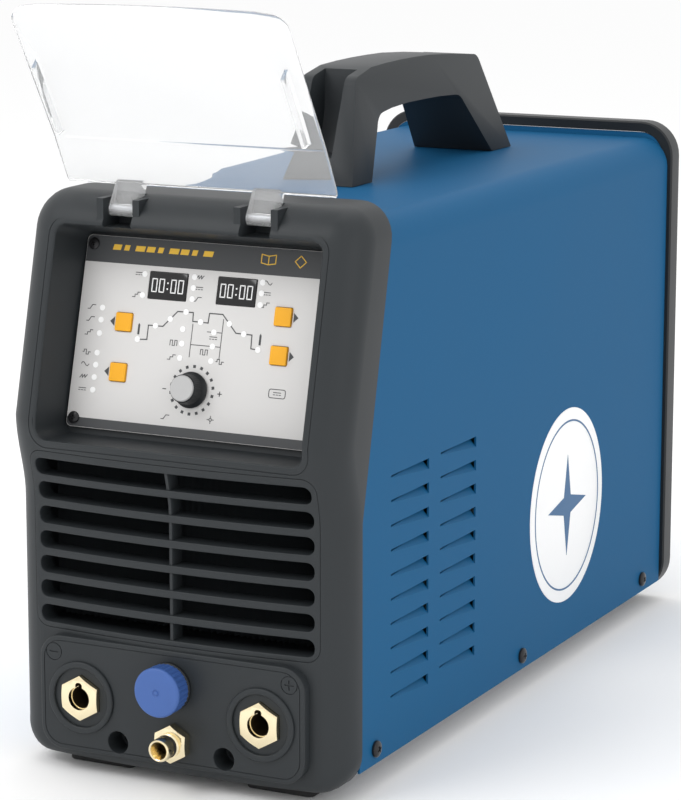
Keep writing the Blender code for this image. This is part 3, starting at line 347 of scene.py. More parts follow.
def rounded(x0, y0, x1, y1, radius, steps=8):
    """A rounded rectangle, counter-clockwise."""
    r = radius
    return (arc(x1 - r, y0 + r, r, -90, 0, steps) + arc(x1 - r, y1 - r, r, 0, 90, steps)
            + arc(x0 + r, y1 - r, r, 90, 180, steps) + arc(x0 + r, y0 + r, r, 180, 270, steps))


def centred(x, y, half_x, half_y, radius, steps=8):
    """A rounded rectangle about a middle point."""
    return rounded(x - half_x, y - half_y, x + half_x, y + half_y, radius, steps)


def circle(cx, cy, radius, steps=40):
    return [(cx + radius * math.cos(a), cy + radius * math.sin(a)) for a in turns(steps)]


def dense(outline, step):
    """Adds points along an outline's long straight stretches."""
    points = []
    for i, (x0, y0) in enumerate(outline):
        x1, y1 = outline[(i + 1) % len(outline)]
        count = max(1, round(math.hypot(x1 - x0, y1 - y0) / step))
        points += [(x0 + (x1 - x0) * k / count, y0 + (y1 - y0) * k / count) for k in range(count)]
    return points


def moved_out(outline, amount):
    """The outline moved outward by amount, along each point's own normal."""
    points = []
    count = len(outline)
    for i, (x, y) in enumerate(outline):
        (ax, ay), (bx, by) = outline[i - 1], outline[(i + 1) % count]
        nx, ny = by - ay, ax - bx
        length = math.hypot(nx, ny) or 1.0
        points.append((x + nx / length * amount, y + ny / length * amount))
    return points


def raised(outline, height):
    return [(x, y, height) for x, y in outline]


def slab(name, outline, low, high, mats, place=Matrix.Identity(4), edge=0.0, steps=4, both=False):
    """An outline between two heights, its front edge, or both edges, rounded by edge."""
    rings = [raised(outline, low)]
    if both:
        rings = [raised(moved_out(outline, -edge * drop), low + edge * inward)
                 for inward, drop in quarter(steps)]
    if edge:
        rings += [raised(moved_out(outline, -edge * inward), high - edge * drop)
                  for inward, drop in quarter(steps)]
    else:
        rings.append(raised(outline, high))
    return loft(name, rings, mats, place)


def cutter(outline, low, high, place=Matrix.Identity(4), mats=PLASTIC):
    return slab("cutter", outline, low, high, mats, place)


def round_cutter(x, y, radius, low, high, place, steps=40, mats=PLASTIC):
    return cutter(circle(x, y, radius, steps), low, high, place, mats)


def flared(outline, base, place, height_of, radius, low, steps=5):
    """A cutter whose mouth is rounded where it meets a curved face at height_of(x, y)."""
    rings = [raised(base, low)]
    for inward, drop in quarter(steps):
        loop = moved_out(outline, radius * inward)
        rings.append([(x, y, height_of(x, y) - radius * drop) for x, y in loop])
    rings.append([(x, y, height_of(x, y) + 0.02) for x, y in moved_out(outline, radius)])
    return loft("cutter", rings, PLASTIC, place)


def groove(outline, place, height_of, width, depth):
    """A closed narrow channel that follows a curved face."""
    proud = 0.001
    sides = ((-width / 2, proud), (width / 2, proud), (width / 4, -depth), (-width / 4, -depth))
    rings = [[(x, y, height_of(x, y) + rise) for x, y in moved_out(outline, offset)]
             for offset, rise in sides]
    return loft("cutter", rings, PLASTIC, place, around=True)


def block(name, low, high, mats):
    """A block between two corners."""
    (x0, y0, z0), (x1, y1, z1) = low, high
    return slab(name, [(x0, y0), (x1, y0), (x1, y1), (x0, y1)], z0, z1, mats)


def about(axis, degrees):
    return Matrix.Rotation(math.radians(degrees), 4, axis)


def front_place(x=0.0, z=0.0):
    """Local X to the right, Y up, Z out of the front."""
    return Matrix.Translation((x, 0.0, z)) @ about("X", 90)


def middle(node):
    """Centre of a CAD node's box."""
    low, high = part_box(node)
    return [(low[i] + high[i]) / 2 for i in range(3)]


FRONT = front_place()
REAR = about("Z", 180) @ about("X", 90)         # local Z out of the rear, Y up
ACROSS = Matrix(((0, 0, 1, 0), (1, 0, 0, 0), (0, 1, 0, 0), (0, 0, 0, 1)))     # X to Y, Y to Z, Z to X


def rear_place(x, z):
    return REAR @ Matrix.Translation((-x, z, 0))


# ---- shape of the front ----
BEZEL_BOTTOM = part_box("front_bezel")[0].z
BEZEL_HALF_W, _, BEZEL_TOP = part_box("front_bezel")[1]
BEZEL_CORNER = 0.020
BEZEL_EDGE = 0.018
BEZEL_WALL = 0.0026
BOTTOM_SHARE = 0.45          # part of the edge rounding that the bottom edge has
FACE_Y = -0.2352
BOW = 0.6835
STRIP_W = 0.0092             # strips of the bowed face
CHIN_Z = 0.196
CHIN_START_Z = 0.150
CHIN_OUT = 0.0085
FACE_LEAN = math.tan(math.radians(14.0))
REAR_EDGE_Y = -0.2095
REAR_EDGE_BEND = 0.152
REAR_EDGE_LEAN = 0.2352
REAR_MARK = 1.0              # depth that marks the rear ring of a front form
PANEL_TILT = math.radians(15.0)
PANEL_PLACE = (Matrix.Translation((0.0, -0.2004, 0.2397))
               @ Matrix.Rotation(math.radians(90) - PANEL_TILT, 4, "X"))
RECESS_HALF_W, RECESS_HALF_H, RECESS_CORNER = 0.0805, 0.0571, 0.0086
LID_PIN_Y, LID_PIN_Z = frame["joints"][0]["pos_m"][1:]
LUG_X = middle("hinge_pin_right")[0]
POCKET_HALF = 0.009
PLATE_Y = 0.2370
SEAT_GAP = 0.0003            # between a seated piece and what it sits on
SOCKET_X, _, SOCKET_Z = middle("socket_contact_plus")
CONNECTOR_Z = middle("dust_cap")[2]
GAS_X, _, GAS_Z = middle("gas_outlet")
DEEP_HOLE_X, DEEP_HOLE_Z, DEEP_HOLE_R = 0.0327, 0.0212, 0.0062
THROUGH = (0.15, 0.26)       # heights of a cutter that goes right through the front
MARK_W, MARK_DEEP = 0.0007, 0.0004              # moulded lines


def face_y(x, z):
    """Y of the bezel's face: bowed in plan, with a chin, leaning back above it."""
    t = min(max((z - CHIN_START_Z) / (CHIN_Z - CHIN_START_Z), 0.0), 1.0)
    y = FACE_Y - CHIN_OUT * t * t * (3.0 - 2.0 * t)
    return y + max(z - CHIN_Z, 0.0) * FACE_LEAN + BOW * x * x


def face_height(x, z):
    return -face_y(x, z)


def plate_height(x, z):
    return PLATE_Y


def panel_height(u, v):
    """How far the bezel's face is above the panel's plane."""
    h = 0.03
    for _ in range(8):
        p = PANEL_PLACE @ Vector((u, v, h))
        h += (p.y - face_y(p.x, p.z)) / math.cos(PANEL_TILT)
    return h


def front_form(name, rings, heights, mats, rear=0.0):
    """Skins rings whose Y is a depth behind the face, sliced finely and bent to it.

    The rear ring stays flat.
    """
    bm = bmesh.new()
    loops = loops_in(bm, rings)
    skin(bm, loops)
    bm.faces.new(loops[-1])
    bm.faces.new(list(reversed(loops[0])))
    cuts = [((i * STRIP_W, 0, 0), (1, 0, 0)) for i in range(-9, 10)]
    cuts += [((0, 0, z), (0, 0, 1)) for z in heights]
    for point, normal in cuts:
        geom = bm.verts[:] + bm.edges[:] + bm.faces[:]
        bmesh.ops.bisect_plane(bm, geom=geom, plane_co=point, plane_no=normal, dist=1e-6)
    for vert in bm.verts:
        vert.co.y = rear if vert.co.y == REAR_MARK else vert.co.y + face_y(vert.co.x, vert.co.z)
    bmesh.ops.triangulate(bm, faces=bm.faces)
    return add(name, bm, mats)


def bezel_form(grow, rear, steps, corner_steps):
    """The bezel's rounded outer form, or a smaller one inside it."""
    centre = (BEZEL_TOP + BEZEL_BOTTOM) / 2
    height = BEZEL_TOP - BEZEL_BOTTOM
    scale_x = (BEZEL_HALF_W + grow) / BEZEL_HALF_W
    scale_z = (height + 2 * grow) / height
    rings = []
    for inward, drop in quarter(steps):
        inset, depth = BEZEL_EDGE * inward, BEZEL_EDGE * drop
        low = BEZEL_BOTTOM + inset * BOTTOM_SHARE
        half = BEZEL_HALF_W - inset
        radius = max(BEZEL_CORNER - inset, 0.0015)
        ring = []
        for x, z in rounded(-half, low, half, BEZEL_TOP - inset, radius, corner_steps):
            share = min(max((z - low) / BEZEL_CORNER, 0.0), 1.0)
            y = depth * (BOTTOM_SHARE + (1 - BOTTOM_SHARE) * share) - grow
            ring.append((x * scale_x, y, centre + (z - centre) * scale_z))
        rings.append(ring)
    rings.insert(0, [(x, REAR_MARK, z) for x, _, z in rings[0]])
    heights = [CHIN_START_Z + i * (CHIN_Z - CHIN_START_Z) / 11 for i in range(12)]
    return front_form("bezel_form", rings, heights, PLASTIC, rear)


def rear_trim(offset):
    """A block behind the bezel's rear edge."""
    y, bottom, top, far, reach = REAR_EDGE_Y + offset, -0.01, 0.36, 0.3, 0.15
    lean = y + (top - REAR_EDGE_BEND) * REAR_EDGE_LEAN
    outline = [(y, bottom), (far, bottom), (far, top), (lean, top), (y, REAR_EDGE_BEND)]
    return cutter(outline, -reach, reach, ACROSS)


def bezel():
    """Moulded front: panel recess, lower plate, vent opening, lid pockets and connector holes."""
    shell = bezel_form(0.0, -0.160, 8, 8)
    shell.name = "bezel_shell"
    cut(shell, bezel_form(-BEZEL_WALL, -0.150, 4, 4))
    tub = loft("tub", [raised(rounded(-RECESS_HALF_W, -RECESS_HALF_H, RECESS_HALF_W, RECESS_HALF_H,
                                      RECESS_CORNER), -0.0056),
                       raised(rounded(-0.0831, -0.0648, 0.0831, RECESS_HALF_H, RECESS_CORNER), 0.034)],
               PLASTIC, PANEL_PLACE)
    carve(tub, "INTERSECT", bezel_form(-0.0004, -0.16, 4, 4))
    plate = slab("plate", dense(rounded(-0.0812, 0.0128, 0.0812, 0.0770, 0.013), 0.01), 0.2300, PLATE_Y,
                 PLASTIC, FRONT, 0.0009)
    join(shell, tub)
    join(shell, plate)
    for sign in (-1, 1):
        x = sign * LUG_X
        join(shell, block("boss", (x - 0.013, -0.2140, 0.2990), (x + 0.013, -0.1930, 0.3150), PLASTIC),
             slab("boss", circle(sign * DEEP_HOLE_X, DEEP_HOLE_Z, 0.0092), 0.2120, 0.2355, PLASTIC, FRONT))
    lip = dense(rounded(-RECESS_HALF_W, -0.0622, RECESS_HALF_W, 0.0545, 0.006, 6), 0.006)
    sharp_base = [(x * 0.9627, y * 0.9 if y < 0 else y) for x, y in lip]
    vent = dense(rounded(-0.0872, 0.0793, 0.0872, 0.1792, 0.008), 0.006)
    line = dense(rounded(-0.0845, -0.0662, 0.0845, 0.0585, 0.010), 0.005)
    ring = dense(rounded(-0.0785, 0.0156, 0.0785, 0.0743, 0.0105), 0.01)
    cut(shell, flared(lip, sharp_base, PANEL_PLACE, panel_height, 0.0016, -0.0023),
        cutter(centred(0, 0, 0.0665, 0.0425, 0.003), -0.02, 0.01, PANEL_PLACE),
        flared(vent, vent, FRONT, face_height, 0.0003, 0.15), rear_trim(0.0),
        groove(line, PANEL_PLACE, panel_height, MARK_W, MARK_DEEP),
        groove(ring, FRONT, plate_height, MARK_W, MARK_DEEP))
    for sign in (-1, 1):
        x = sign * LUG_X
        deep = circle(sign * DEEP_HOLE_X, DEEP_HOLE_Z, DEEP_HOLE_R)
        cut(shell,
            block("cutter", (x - POCKET_HALF, -0.26, 0.2996), (x + POCKET_HALF, -0.1975, 0.33), PLASTIC),
            flared(deep, deep, FRONT, plate_height, 0.0006, 0.2225),
            round_cutter(sign * SOCKET_X, SOCKET_Z, 0.0174, *THROUGH, FRONT), *polarity_mark(sign))
    cut(shell, round_cutter(0.0, CONNECTOR_Z, 0.0108, *THROUGH, FRONT),
        round_cutter(GAS_X, GAS_Z, 0.0063, *THROUGH, FRONT))
    show(shell, "casing", "bezel_plastic", "front_bezel")


def polarity_mark(sign):
    """Grooves of the moulded mark: a ring with a minus or a plus in it."""
    x, z, radius, long, thin, deep = sign * 0.0723, 0.0677, 0.0048, 0.0027, 0.0004, 0.0005
    marks = [groove(circle(x, z, radius), FRONT, plate_height, MARK_W, deep)]
    for wide, tall in ((long, thin), (thin, long))[:1 if sign < 0 else 2]:
        marks.append(block("cutter", (x - wide, -PLATE_Y - 0.001, z - tall),
                           (x + wide, -PLATE_Y + deep, z + tall),
                           PLASTIC))
    return marks


# ---- vent ----
GRILLE_HALF, GRILLE_LOW, GRILLE_HIGH, GRILLE_DEEP, GRILLE_EDGE = 0.0870, 0.0795, 0.1790, 0.012, 0.0003
SLOT_HALF, SLOT_TOP, SLOT_TALL, SLOT_PITCH, SLOTS = 0.0838, 0.1746, 0.0095, 0.0138, 7
DUCT_HALF, DUCT_LOW, DUCT_HIGH, DUCT_WALL = 0.0862, 0.0800, 0.1780, 0.0014
RIB_LOW, RIB_TALL, RIB_SET_BACK, RIB_DEEP = 0.0802, 0.0980, 0.0012, 0.0095
# The pleated dark sheet behind the vent slots is painted shade for the view through them, not a real part.
PLEATS, FOLD, SHADE_SHEET_HALF, SHADE_SHEET_Y, SHADE_SHEET_T = 46, 0.0028, 0.0842, -0.2080, 0.0012


def grille():
    """Vent insert with rounded slots, a set-back middle rib and the air duct behind it."""
    outline = dense(rounded(-GRILLE_HALF, GRILLE_LOW, GRILLE_HALF, GRILLE_HIGH, 0.0077), 0.0046)
    rings = [[(x, GRILLE_DEEP, z) for x, z in outline]]
    for inward, drop in quarter(3):
        rings.append([(x, GRILLE_EDGE * drop, z) for x, z in moved_out(outline, -GRILLE_EDGE * inward)])
    heights = [CHIN_START_Z + i * 0.0038 for i in range(8)]
    insert = front_form("vent_grille", rings, heights, [PLASTIC, PLASTIC_DARK])
    duct = slab("air_duct", rounded(-DUCT_HALF, DUCT_LOW, DUCT_HALF, DUCT_HIGH, 0.006), 0.1050, 0.2290,
                PLASTIC_DARK, FRONT)
    inner = DUCT_HALF - DUCT_WALL
    cut(duct, cutter(rounded(-inner, DUCT_LOW + DUCT_WALL, inner, DUCT_HIGH - DUCT_WALL, 0.0046), 0.0, 0.3,
                     FRONT))
    join(insert, duct)
    cutters = []
    for row in range(SLOTS):
        top = SLOT_TOP - row * SLOT_PITCH
        slot = dense(rounded(-SLOT_HALF, top - SLOT_TALL, SLOT_HALF, top, 0.0042, 5), 0.006)
        cutters.append(flared(slot, slot, FRONT, face_height, 0.0007, 0.15, 3))
    cut(insert, *cutters)
    rib = []
    for k in range(10):
        z = RIB_LOW + RIB_TALL * k / 9
        y = face_y(0.0, z) + RIB_SET_BACK
        side = [(0.0008, y, z), (0.0013, y + 0.0010, z), (0.0013, y + RIB_DEEP, z)]
        rib.append([(-x, *rest) for x, *rest in side[1::-1]] + side + [(-0.0013, y + RIB_DEEP, z)])
    join(insert, loft("rib", rib, PLASTIC))
    show(insert, "casing", "bezel_plastic", "front_grille")


def slot_shade_sheet():
    """Pleated dark sheet held in the air duct behind the slots: painted shade for the view through the slots."""
    front = [(-SHADE_SHEET_HALF + SHADE_SHEET_HALF * k / PLEATS, SHADE_SHEET_Y + (FOLD if k % 2 else -FOLD))
             for k in range(2 * PLEATS + 1)]
    outline = front + [(x, y + SHADE_SHEET_T) for x, y in reversed(front)]
    show(slab("slot_shade_sheet", outline, 0.0818, 0.1762, PLASTIC), "casing", "black_plastic")


bezel()
grille()
slot_shade_sheet()

# ---- sheet-metal case ----
COVER_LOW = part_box("cover")[0].z
COVER_HALF, COVER_REAR, COVER_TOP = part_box("cover")[1]
COVER_FRONT = -0.24
COVER_RADIUS, BEND_STEPS = 0.018, 16
SHEET = 0.0012
LOUVRE_STARTS = (-0.1714, -0.1081)
LOUVRE_LENGTH = 0.0480
LOUVRE_ROWS = 10
LOUVRE_PITCH = 0.0136
LOUVRE_TOP = 0.1701
LOUVRE_DROP = 0.0062         # height of the slit at its open end
LOUVRE_DEEP = 0.0042


def louvre(sign, y0, z):
    """A slit in the side and the tongue bent in under it, deepest at the rear end."""
    y1 = y0 + LOUVRE_LENGTH
    mouth = ((y0, z), (y0, z - 0.0011), (y1, z - LOUVRE_DROP), (y1, z))
    slit = cutter(mouth, sign * (COVER_HALF - SHEET - 0.001), sign * (COVER_HALF + 0.002), ACROSS)
    x, x_deep = sign * COVER_HALF, sign * (COVER_HALF - LOUVRE_DEEP)
    top = [Vector((x, y0, z)) + Vector((0, 0.0002, -0.0010)),
           Vector((x, y1, z - LOUVRE_DROP)) + Vector((0, -0.0002, 0)),
           Vector((x_deep, y1 - 0.0006, z - 0.0003)) + Vector((0, 0, -0.0008))]
    back = Vector((-sign * 0.9 * SHEET, 0.0, 0.0))
    return slit, loft("louvre", [[p + back for p in top], top], PAINT)


def merged(name, objects):
    """Joins objects into one piece without touching their shapes."""
    bm = bmesh.new()
    for obj in objects:
        bm.from_mesh(obj.data)
    mesh = bpy.data.meshes.new(name)
    mesh.materials.append(objects[0].data.materials[0])
    for obj in objects:
        bpy.data.objects.remove(obj, do_unlink=True)
    bm.to_mesh(mesh)
    bm.free()
    finish_mesh(mesh, 32)
    return link_new(name, mesh)


def bent(half, top, centre, radius, turn):
    """Corner arcs of the folded cover from one side to the other.

    Turn is 1 from the right, -1 from the left.
    """
    near, far = (0, 90), (90, 180)
    if turn < 0:
        near, far = (180, 90), (90, 0)
    return (arc(turn * (half - centre), top - centre, radius, *near, BEND_STEPS)
            + arc(turn * (centre - half), top - centre, radius, *far, BEND_STEPS))


def case():
    """Folded cover: one bent sheet with rounded edges, lanced with two columns of louvres a side."""
    inner = COVER_HALF - SHEET
    outline = ([(COVER_HALF, COVER_LOW), *bent(COVER_HALF, COVER_TOP, COVER_RADIUS, COVER_RADIUS, 1),
                (-COVER_HALF, COVER_LOW), (-inner, COVER_LOW)]
               + bent(COVER_HALF, COVER_TOP, COVER_RADIUS, COVER_RADIUS - SHEET, -1) + [(inner, COVER_LOW)])
    sheet = slab("case_sheet", outline, -COVER_REAR, -COVER_FRONT, PAINT, FRONT)
    carve(sheet, "INTERSECT", rear_trim(SEAT_GAP))
    pairs = [louvre(sign, y0, LOUVRE_TOP - row * LOUVRE_PITCH)
             for sign in (-1, 1) for y0 in LOUVRE_STARTS for row in range(LOUVRE_ROWS)]
    cut(sheet, merged("slits", [slit for slit, _ in pairs]))
    show(merged("case_sheet", [sheet, *(tongue for _, tongue in pairs)]), "casing", "blue_paint", "cover")


def rear_surround():
    """Moulded rear frame: a ring with rounded edges standing proud of the sheet."""
    low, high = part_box("rear_frame")
    rim, corner, edge, inner_edge, chamfer = 0.0065, 0.022, 0.0024, 0.0012, 0.0010
    section = [(0.0, low.y + chamfer)]
    section += [(-edge * inward, high.y - edge * drop) for inward, drop in quarter(6)]
    section += [(-rim + inner_edge * drop, high.y - inner_edge * inward) for inward, drop in quarter(4)]
    section += [(-rim, low.y), (-chamfer, low.y)]
    outline = rounded(low.x, low.z, high.x, high.z, corner, 10)
    rings = [raised(moved_out(outline, offset), -y) for offset, y in section]
    show(loft("rear_surround", rings, PLASTIC_DARK, FRONT, around=True), "casing", "black_plastic",
         "rear_frame")


HANDLE_BASE = COVER_TOP + SEAT_GAP
HANDLE_HALF, HANDLE_TAPER = 0.0266, 0.16
NOTCH_HALF, HANDLE_ROUND = 0.0103, 0.0011
HANDLE_SHAPE = ([(-0.0700, 0.0), (-0.0486, 0.0535)] + arc(-0.0408, 0.0523, 0.0078, 165, 100, 5)
                + [(-0.0250, 0.0636), (-0.0050, 0.0645), (0.0150, 0.0649), (0.0360, 0.0649), (0.0560, 0.0646),
                   (0.0880, 0.0627), (0.1170, 0.0602)]
                + arc(0.1180, 0.0518, 0.0085, 85, 28, 4) + [(0.1555, 0.0)])
GRIP_SHAPE = ([(-0.0445, -0.01), (-0.0445, 0.0), (-0.0270, 0.0305)] + arc(-0.0165, 0.0255, 0.0118, 155, 98, 5)
              + [(-0.0060, 0.0386), (0.0160, 0.0397), (0.0400, 0.0397), (0.0624, 0.0394), (0.0840, 0.0384)]
              + arc(0.0850, 0.0270, 0.0112, 85, 35, 4) + [(0.1259, 0.0), (0.1259, -0.01)])
NOTCH_SHAPE = [(-0.12, 0.0150), (-0.0415, 0.0150), (-0.0350, 0.0262), (-0.0315, 0.0400), (-0.0290, 0.12),
               (-0.12, 0.12)]


def carry_handle():
    """Tapered loop with rounded edges and a notch down its front leg."""
    rings = [[(y, h + HANDLE_BASE, side * (HANDLE_HALF - HANDLE_TAPER * h)) for y, h in HANDLE_SHAPE]
             for side in (-1, 1)]
    loop = loft("carry_handle", rings, PLASTIC, ACROSS)
    for shape, reach in ((GRIP_SHAPE, 0.06), (NOTCH_SHAPE, NOTCH_HALF)):
        cut(loop, cutter([(y, h + HANDLE_BASE) for y, h in shape], -reach, reach, ACROSS))
    soften(loop, HANDLE_ROUND, 3, 30.0)
    show(loop, "casing", "bezel_plastic", "handle")


# ---- clear lid ----
LID_HALF_W = 0.0815
LID_T = 0.0025
LID_START = Vector((-0.1977, 0.3216))
LID_FOLD = Vector((-0.2116, 0.3475))
LID_LEAN = math.radians(32.0)
LID_WINDOW = 0.0865
FOLD_REACH = 0.002           # length of sheet that the fold takes on either side
RIB_X, RIB_HALF = 0.0735, 0.0011
LUG_R, LUG_HALF, PIN_BORE_R = 0.0042, 0.008, 0.0023


def lid():
    """Clear lid: window, folded lower strip, side ribs and two hinge lugs."""
    window_n = Vector((math.cos(LID_LEAN), math.sin(LID_LEAN)))
    up = Vector((-math.sin(LID_LEAN), math.cos(LID_LEAN)))
    run = (LID_FOLD - LID_START).normalized()
    strip_n = Vector((run.y, -run.x))
    half = LID_T / 2
    path = [(LID_START, strip_n), (LID_FOLD - run * FOLD_REACH, strip_n),
            (LID_FOLD, (strip_n + window_n).normalized()), (LID_FOLD + up * FOLD_REACH, window_n),
            (LID_FOLD + up * LID_WINDOW, window_n)]
    outline = [p + n * half for p, n in path] + [p - n * half for p, n in reversed(path)]
    plate = slab("lid_clear", outline, -LID_HALF_W, LID_HALF_W, CLEAR, ACROSS)
    place = (Matrix.Translation((0, LID_FOLD.x, LID_FOLD.y))
             @ Matrix.Rotation(math.radians(90) + LID_LEAN, 4, "X"))
    w, t = LID_HALF_W, LID_WINDOW
    spans = [0.78 * (1 - k / 6) for k in range(13)]
    bow = [(w * 0.78 * (1 - k / 6), t - 0.0001 - 0.0021 * span ** 2) for k, span in enumerate(spans)]
    shape = (arc(w - 0.0105, t - 0.0125, 0.010, 0, 78, 10) + bow
             + arc(-w + 0.0105, t - 0.0125, 0.010, 102, 180, 10)
             + [(-w + 0.0002, -0.0270), (-w + 0.0025, -0.0400), (w - 0.0025, -0.0400), (w - 0.0002, -0.0270)])
    carve(plate, "INTERSECT", cutter(shape, -0.06, 0.06, place))
    side = [(0.0040, 0.0), (0.0060, 0.0078), (0.0500, 0.0078), (0.0520, 0.0)]
    along = place @ ACROSS
    ribs = []
    for sign in (-1, 1):
        x = sign * RIB_X
        ribs += [slab("rib", side, x - RIB_HALF, x + RIB_HALF, CLEAR, along), lug(sign * LUG_X)]
    crease = [(-0.0006, half - 0.0004), (0.0006, half - 0.0004), (0.0003, half + 0.0006),
              (-0.0003, half + 0.0006)]
    join(plate, *ribs, slab("crease", crease, -0.0730, 0.0800, CLEAR, along))
    for x in (-LUG_X, LUG_X):
        cut(plate, round_cutter(LID_PIN_Y, LID_PIN_Z, PIN_BORE_R, x - 0.012, x + 0.012, ACROSS, 24))
    soften(plate, 0.0005)
    show(plate, "lid", "clear_polycarbonate", "lid")


def lug(x):
    """A hinge lug: a barrel round the pin, blended into an arm up to the lid's edge."""
    shape = arc(LID_PIN_Y, LID_PIN_Z, LUG_R, 160, 340, 14)
    shape += [(LID_START.x + 0.0014, LID_START.y - 0.0005), (LID_START.x - 0.0008, LID_START.y + 0.0030),
              (LID_START.x - 0.0045, LID_START.y + 0.0012)]
    return slab("lug", shape, x - LUG_HALF, x + LUG_HALF, CLEAR, ACROSS)


case()
rear_surround()
carry_handle()
lid()

# ---- control panel ----
FACE_HALF_W, FACE_HALF_H, FACE_CORNER, FACE_MARGIN = 0.0765, 0.0527, 0.003, 0.0003
HEAD_LOW, FOOT_HIGH = 0.0380, -0.0473           # edges of the dark strips
HOLE_RANGE = (-0.01, 0.01)
DISPLAY_TOP = 0.0005
PRINT_LOW, PRINT_TOP = -0.0004, 0.0001          # heights of a printed mark
FINE_LINE, ICON_LINE, MARK_LINE = 0.0004, 0.0004, 0.0005
CAP_HALF = 0.005
TICKS, TICK_RING, TICK_HALF = 18, 0.0128, 0.0008
DIGIT_W, DIGIT_H, DIGIT_LINE = 0.0030, 0.0074, 0.0006


def on_panel(name, shapes, mats, top=PRINT_TOP, low=PRINT_LOW, slot="panel_face"):
    """Flat marks on the panel: each shape is an outline in panel coordinates."""
    bm = bmesh.new()
    for outline in shapes:
        loops = loops_in(bm, [raised(outline, low), raised(outline, top)], PANEL_PLACE)
        skin(bm, loops)
        cap_ends(bm, *loops)
    show(add(name, bm, mats), "casing", slot)


def bar(x0, y0, x1, y1, width):
    """A stroke between two points, as an outline."""
    dx, dy = x1 - x0, y1 - y0
    length = math.hypot(dx, dy)
    nx, ny = -dy / length * width / 2, dx / length * width / 2
    ex, ey = dx / length * width * 0.3, dy / length * width * 0.3
    return [(x0 - nx - ex, y0 - ny - ey), (x1 - nx + ex, y1 - ny + ey),
            (x1 + nx + ex, y1 + ny + ey), (x0 + nx - ex, y0 + ny - ey)]


def stroke(points, width):
    return [bar(*a, *b, width) for a, b in zip(points, points[1:])]


def mm(*pairs):
    return [(u / 1000, v / 1000) for u, v in pairs]


DISPLAY_AT = {"left": (-0.0231, 0.0277), "right": (0.0189, 0.0277)}
BUTTON_AT = ((-0.0475, 0.0064), (-0.0475, -0.0210), (0.0485, 0.0165), (0.0485, -0.0042))
KNOB_AT = (-0.0012, -0.0268)
LEDS = mm((-62.1, 13.2), (-62.1, 6.6), (-62.1, -0.8), (-62.1, -11.5), (-62.1, -18.1), (-62.1, -24.9),
          (-62.1, -31.8), (-38.2, 33.3), (-38.2, 21.8), (-7.5, 33.8), (-7.5, 27.9), (-7.5, 21.9),
          (33.8, 33.8), (33.8, 28.0), (33.8, 21.8), (-11.0, 5.4), (-10.5, -2.4), (-10.7, -10.2),
          (8.3, -10.3), (8.1, 5.1), (8.2, -2.5), (-38.1, -2.2), (-27.9, 5.9), (-19.3, 10.2),
          (-10.2, 14.7), (-0.7, 10.0), (16.8, 10.4), (26.1, 5.6), (35.6, -2.1))
CYCLE = mm((-38.1, -2.2), (-32.3, -1.9), (-32.3, 5.9), (-23.4, 5.9), (-15.3, 14.6), (-5.8, 14.7),
           (-5.5, 10.0), (3.9, 9.8), (4.1, 15.0), (12.2, 15.1), (21.3, 5.7), (31.0, 5.5), (31.3, -1.8),
           (35.6, -2.1))
GUIDES = (((-5.2, 8.6), (-5.2, -9.2)), ((13.0, 12.5), (13.0, -9.2)), ((4.0, 5.1), (12.6, 5.1)),
          ((-5.0, -2.5), (12.6, -2.5)))
SIGNS = (((-19.0, -27.4), (-17.0, -27.4)), ((14.6, -27.4), (17.0, -27.4)), ((15.8, -28.6), (15.8, -26.2)))
ICONS = {
    "ramp": [[(-2.4, -1.0), (-1.0, -1.0), (0.4, 1.2), (2.4, 1.2)]],
    "steps": [[(-2.4, -1.2), (-0.8, -1.2), (-0.8, 0.2), (0.8, 0.2), (0.8, 1.4), (2.4, 1.4)]],
    "square": [[(-2.4, 0), (-1.6, 0), (-1.6, 1.3), (-0.2, 1.3), (-0.2, -1.3), (1.2, -1.3), (1.2, 0),
                (2.4, 0)]],
    "sine": [[(-2.4, 0), (-1.6, 1.0), (-0.8, 0.9), (0, 0), (0.8, -0.9), (1.6, -1.0), (2.4, 0)]],
    "saw": [[(-2.4, -0.8), (-1.0, 1.0), (-0.8, -0.8), (0.6, 1.0), (0.8, -0.8), (2.2, 1.0)]],
    "dashes": [[(-2.2, 0.6), (2.2, 0.6)], [(-2.2, -0.6), (-1.2, -0.6)], [(-0.5, -0.6), (0.5, -0.6)],
               [(1.2, -0.6), (2.2, -0.6)]],
    "comb": [[(-2.2, -1.4), (-2.2, 1.4), (-0.8, 1.4), (-0.8, -1.4), (0.6, -1.4), (0.6, 1.4), (2.0, 1.4),
              (2.0, -1.4)]],
    "sun": [[(-1.0, 0), (0, 1.0), (1.0, 0), (0, -1.0), (-1.0, 0)], [(-2.0, 0), (-1.4, 0)],
            [(1.4, 0), (2.0, 0)], [(0, 1.4), (0, 2.0)], [(0, -2.0), (0, -1.4)]],
}
ICONS_AT = ((-68.8, 13.2, "ramp"), (-68.8, 6.6, "ramp"), (-68.8, -0.8, "steps"), (-68.8, -11.5, "square"),
            (-68.8, -18.1, "sine"), (-68.8, -24.9, "saw"), (-68.8, -31.8, "dashes"), (-41.6, 33.3, "dashes"),
            (-42.0, 21.8, "steps"), (-4.0, 33.8, "saw"), (-4.0, 27.9, "dashes"), (-4.4, 21.9, "ramp"),
            (37.0, 33.8, "sine"), (37.0, 28.0, "dashes"), (36.8, 21.8, "steps"), (-15.6, -2.4, "comb"),
            (-16.0, -10.2, "steps"), (13.6, -10.3, "square"), (8.0, 2.0, "dashes"), (3.5, -6.0, "comb"),
            (12.0, -41.5, "sun"), (-15.6, -42.5, "ramp"))


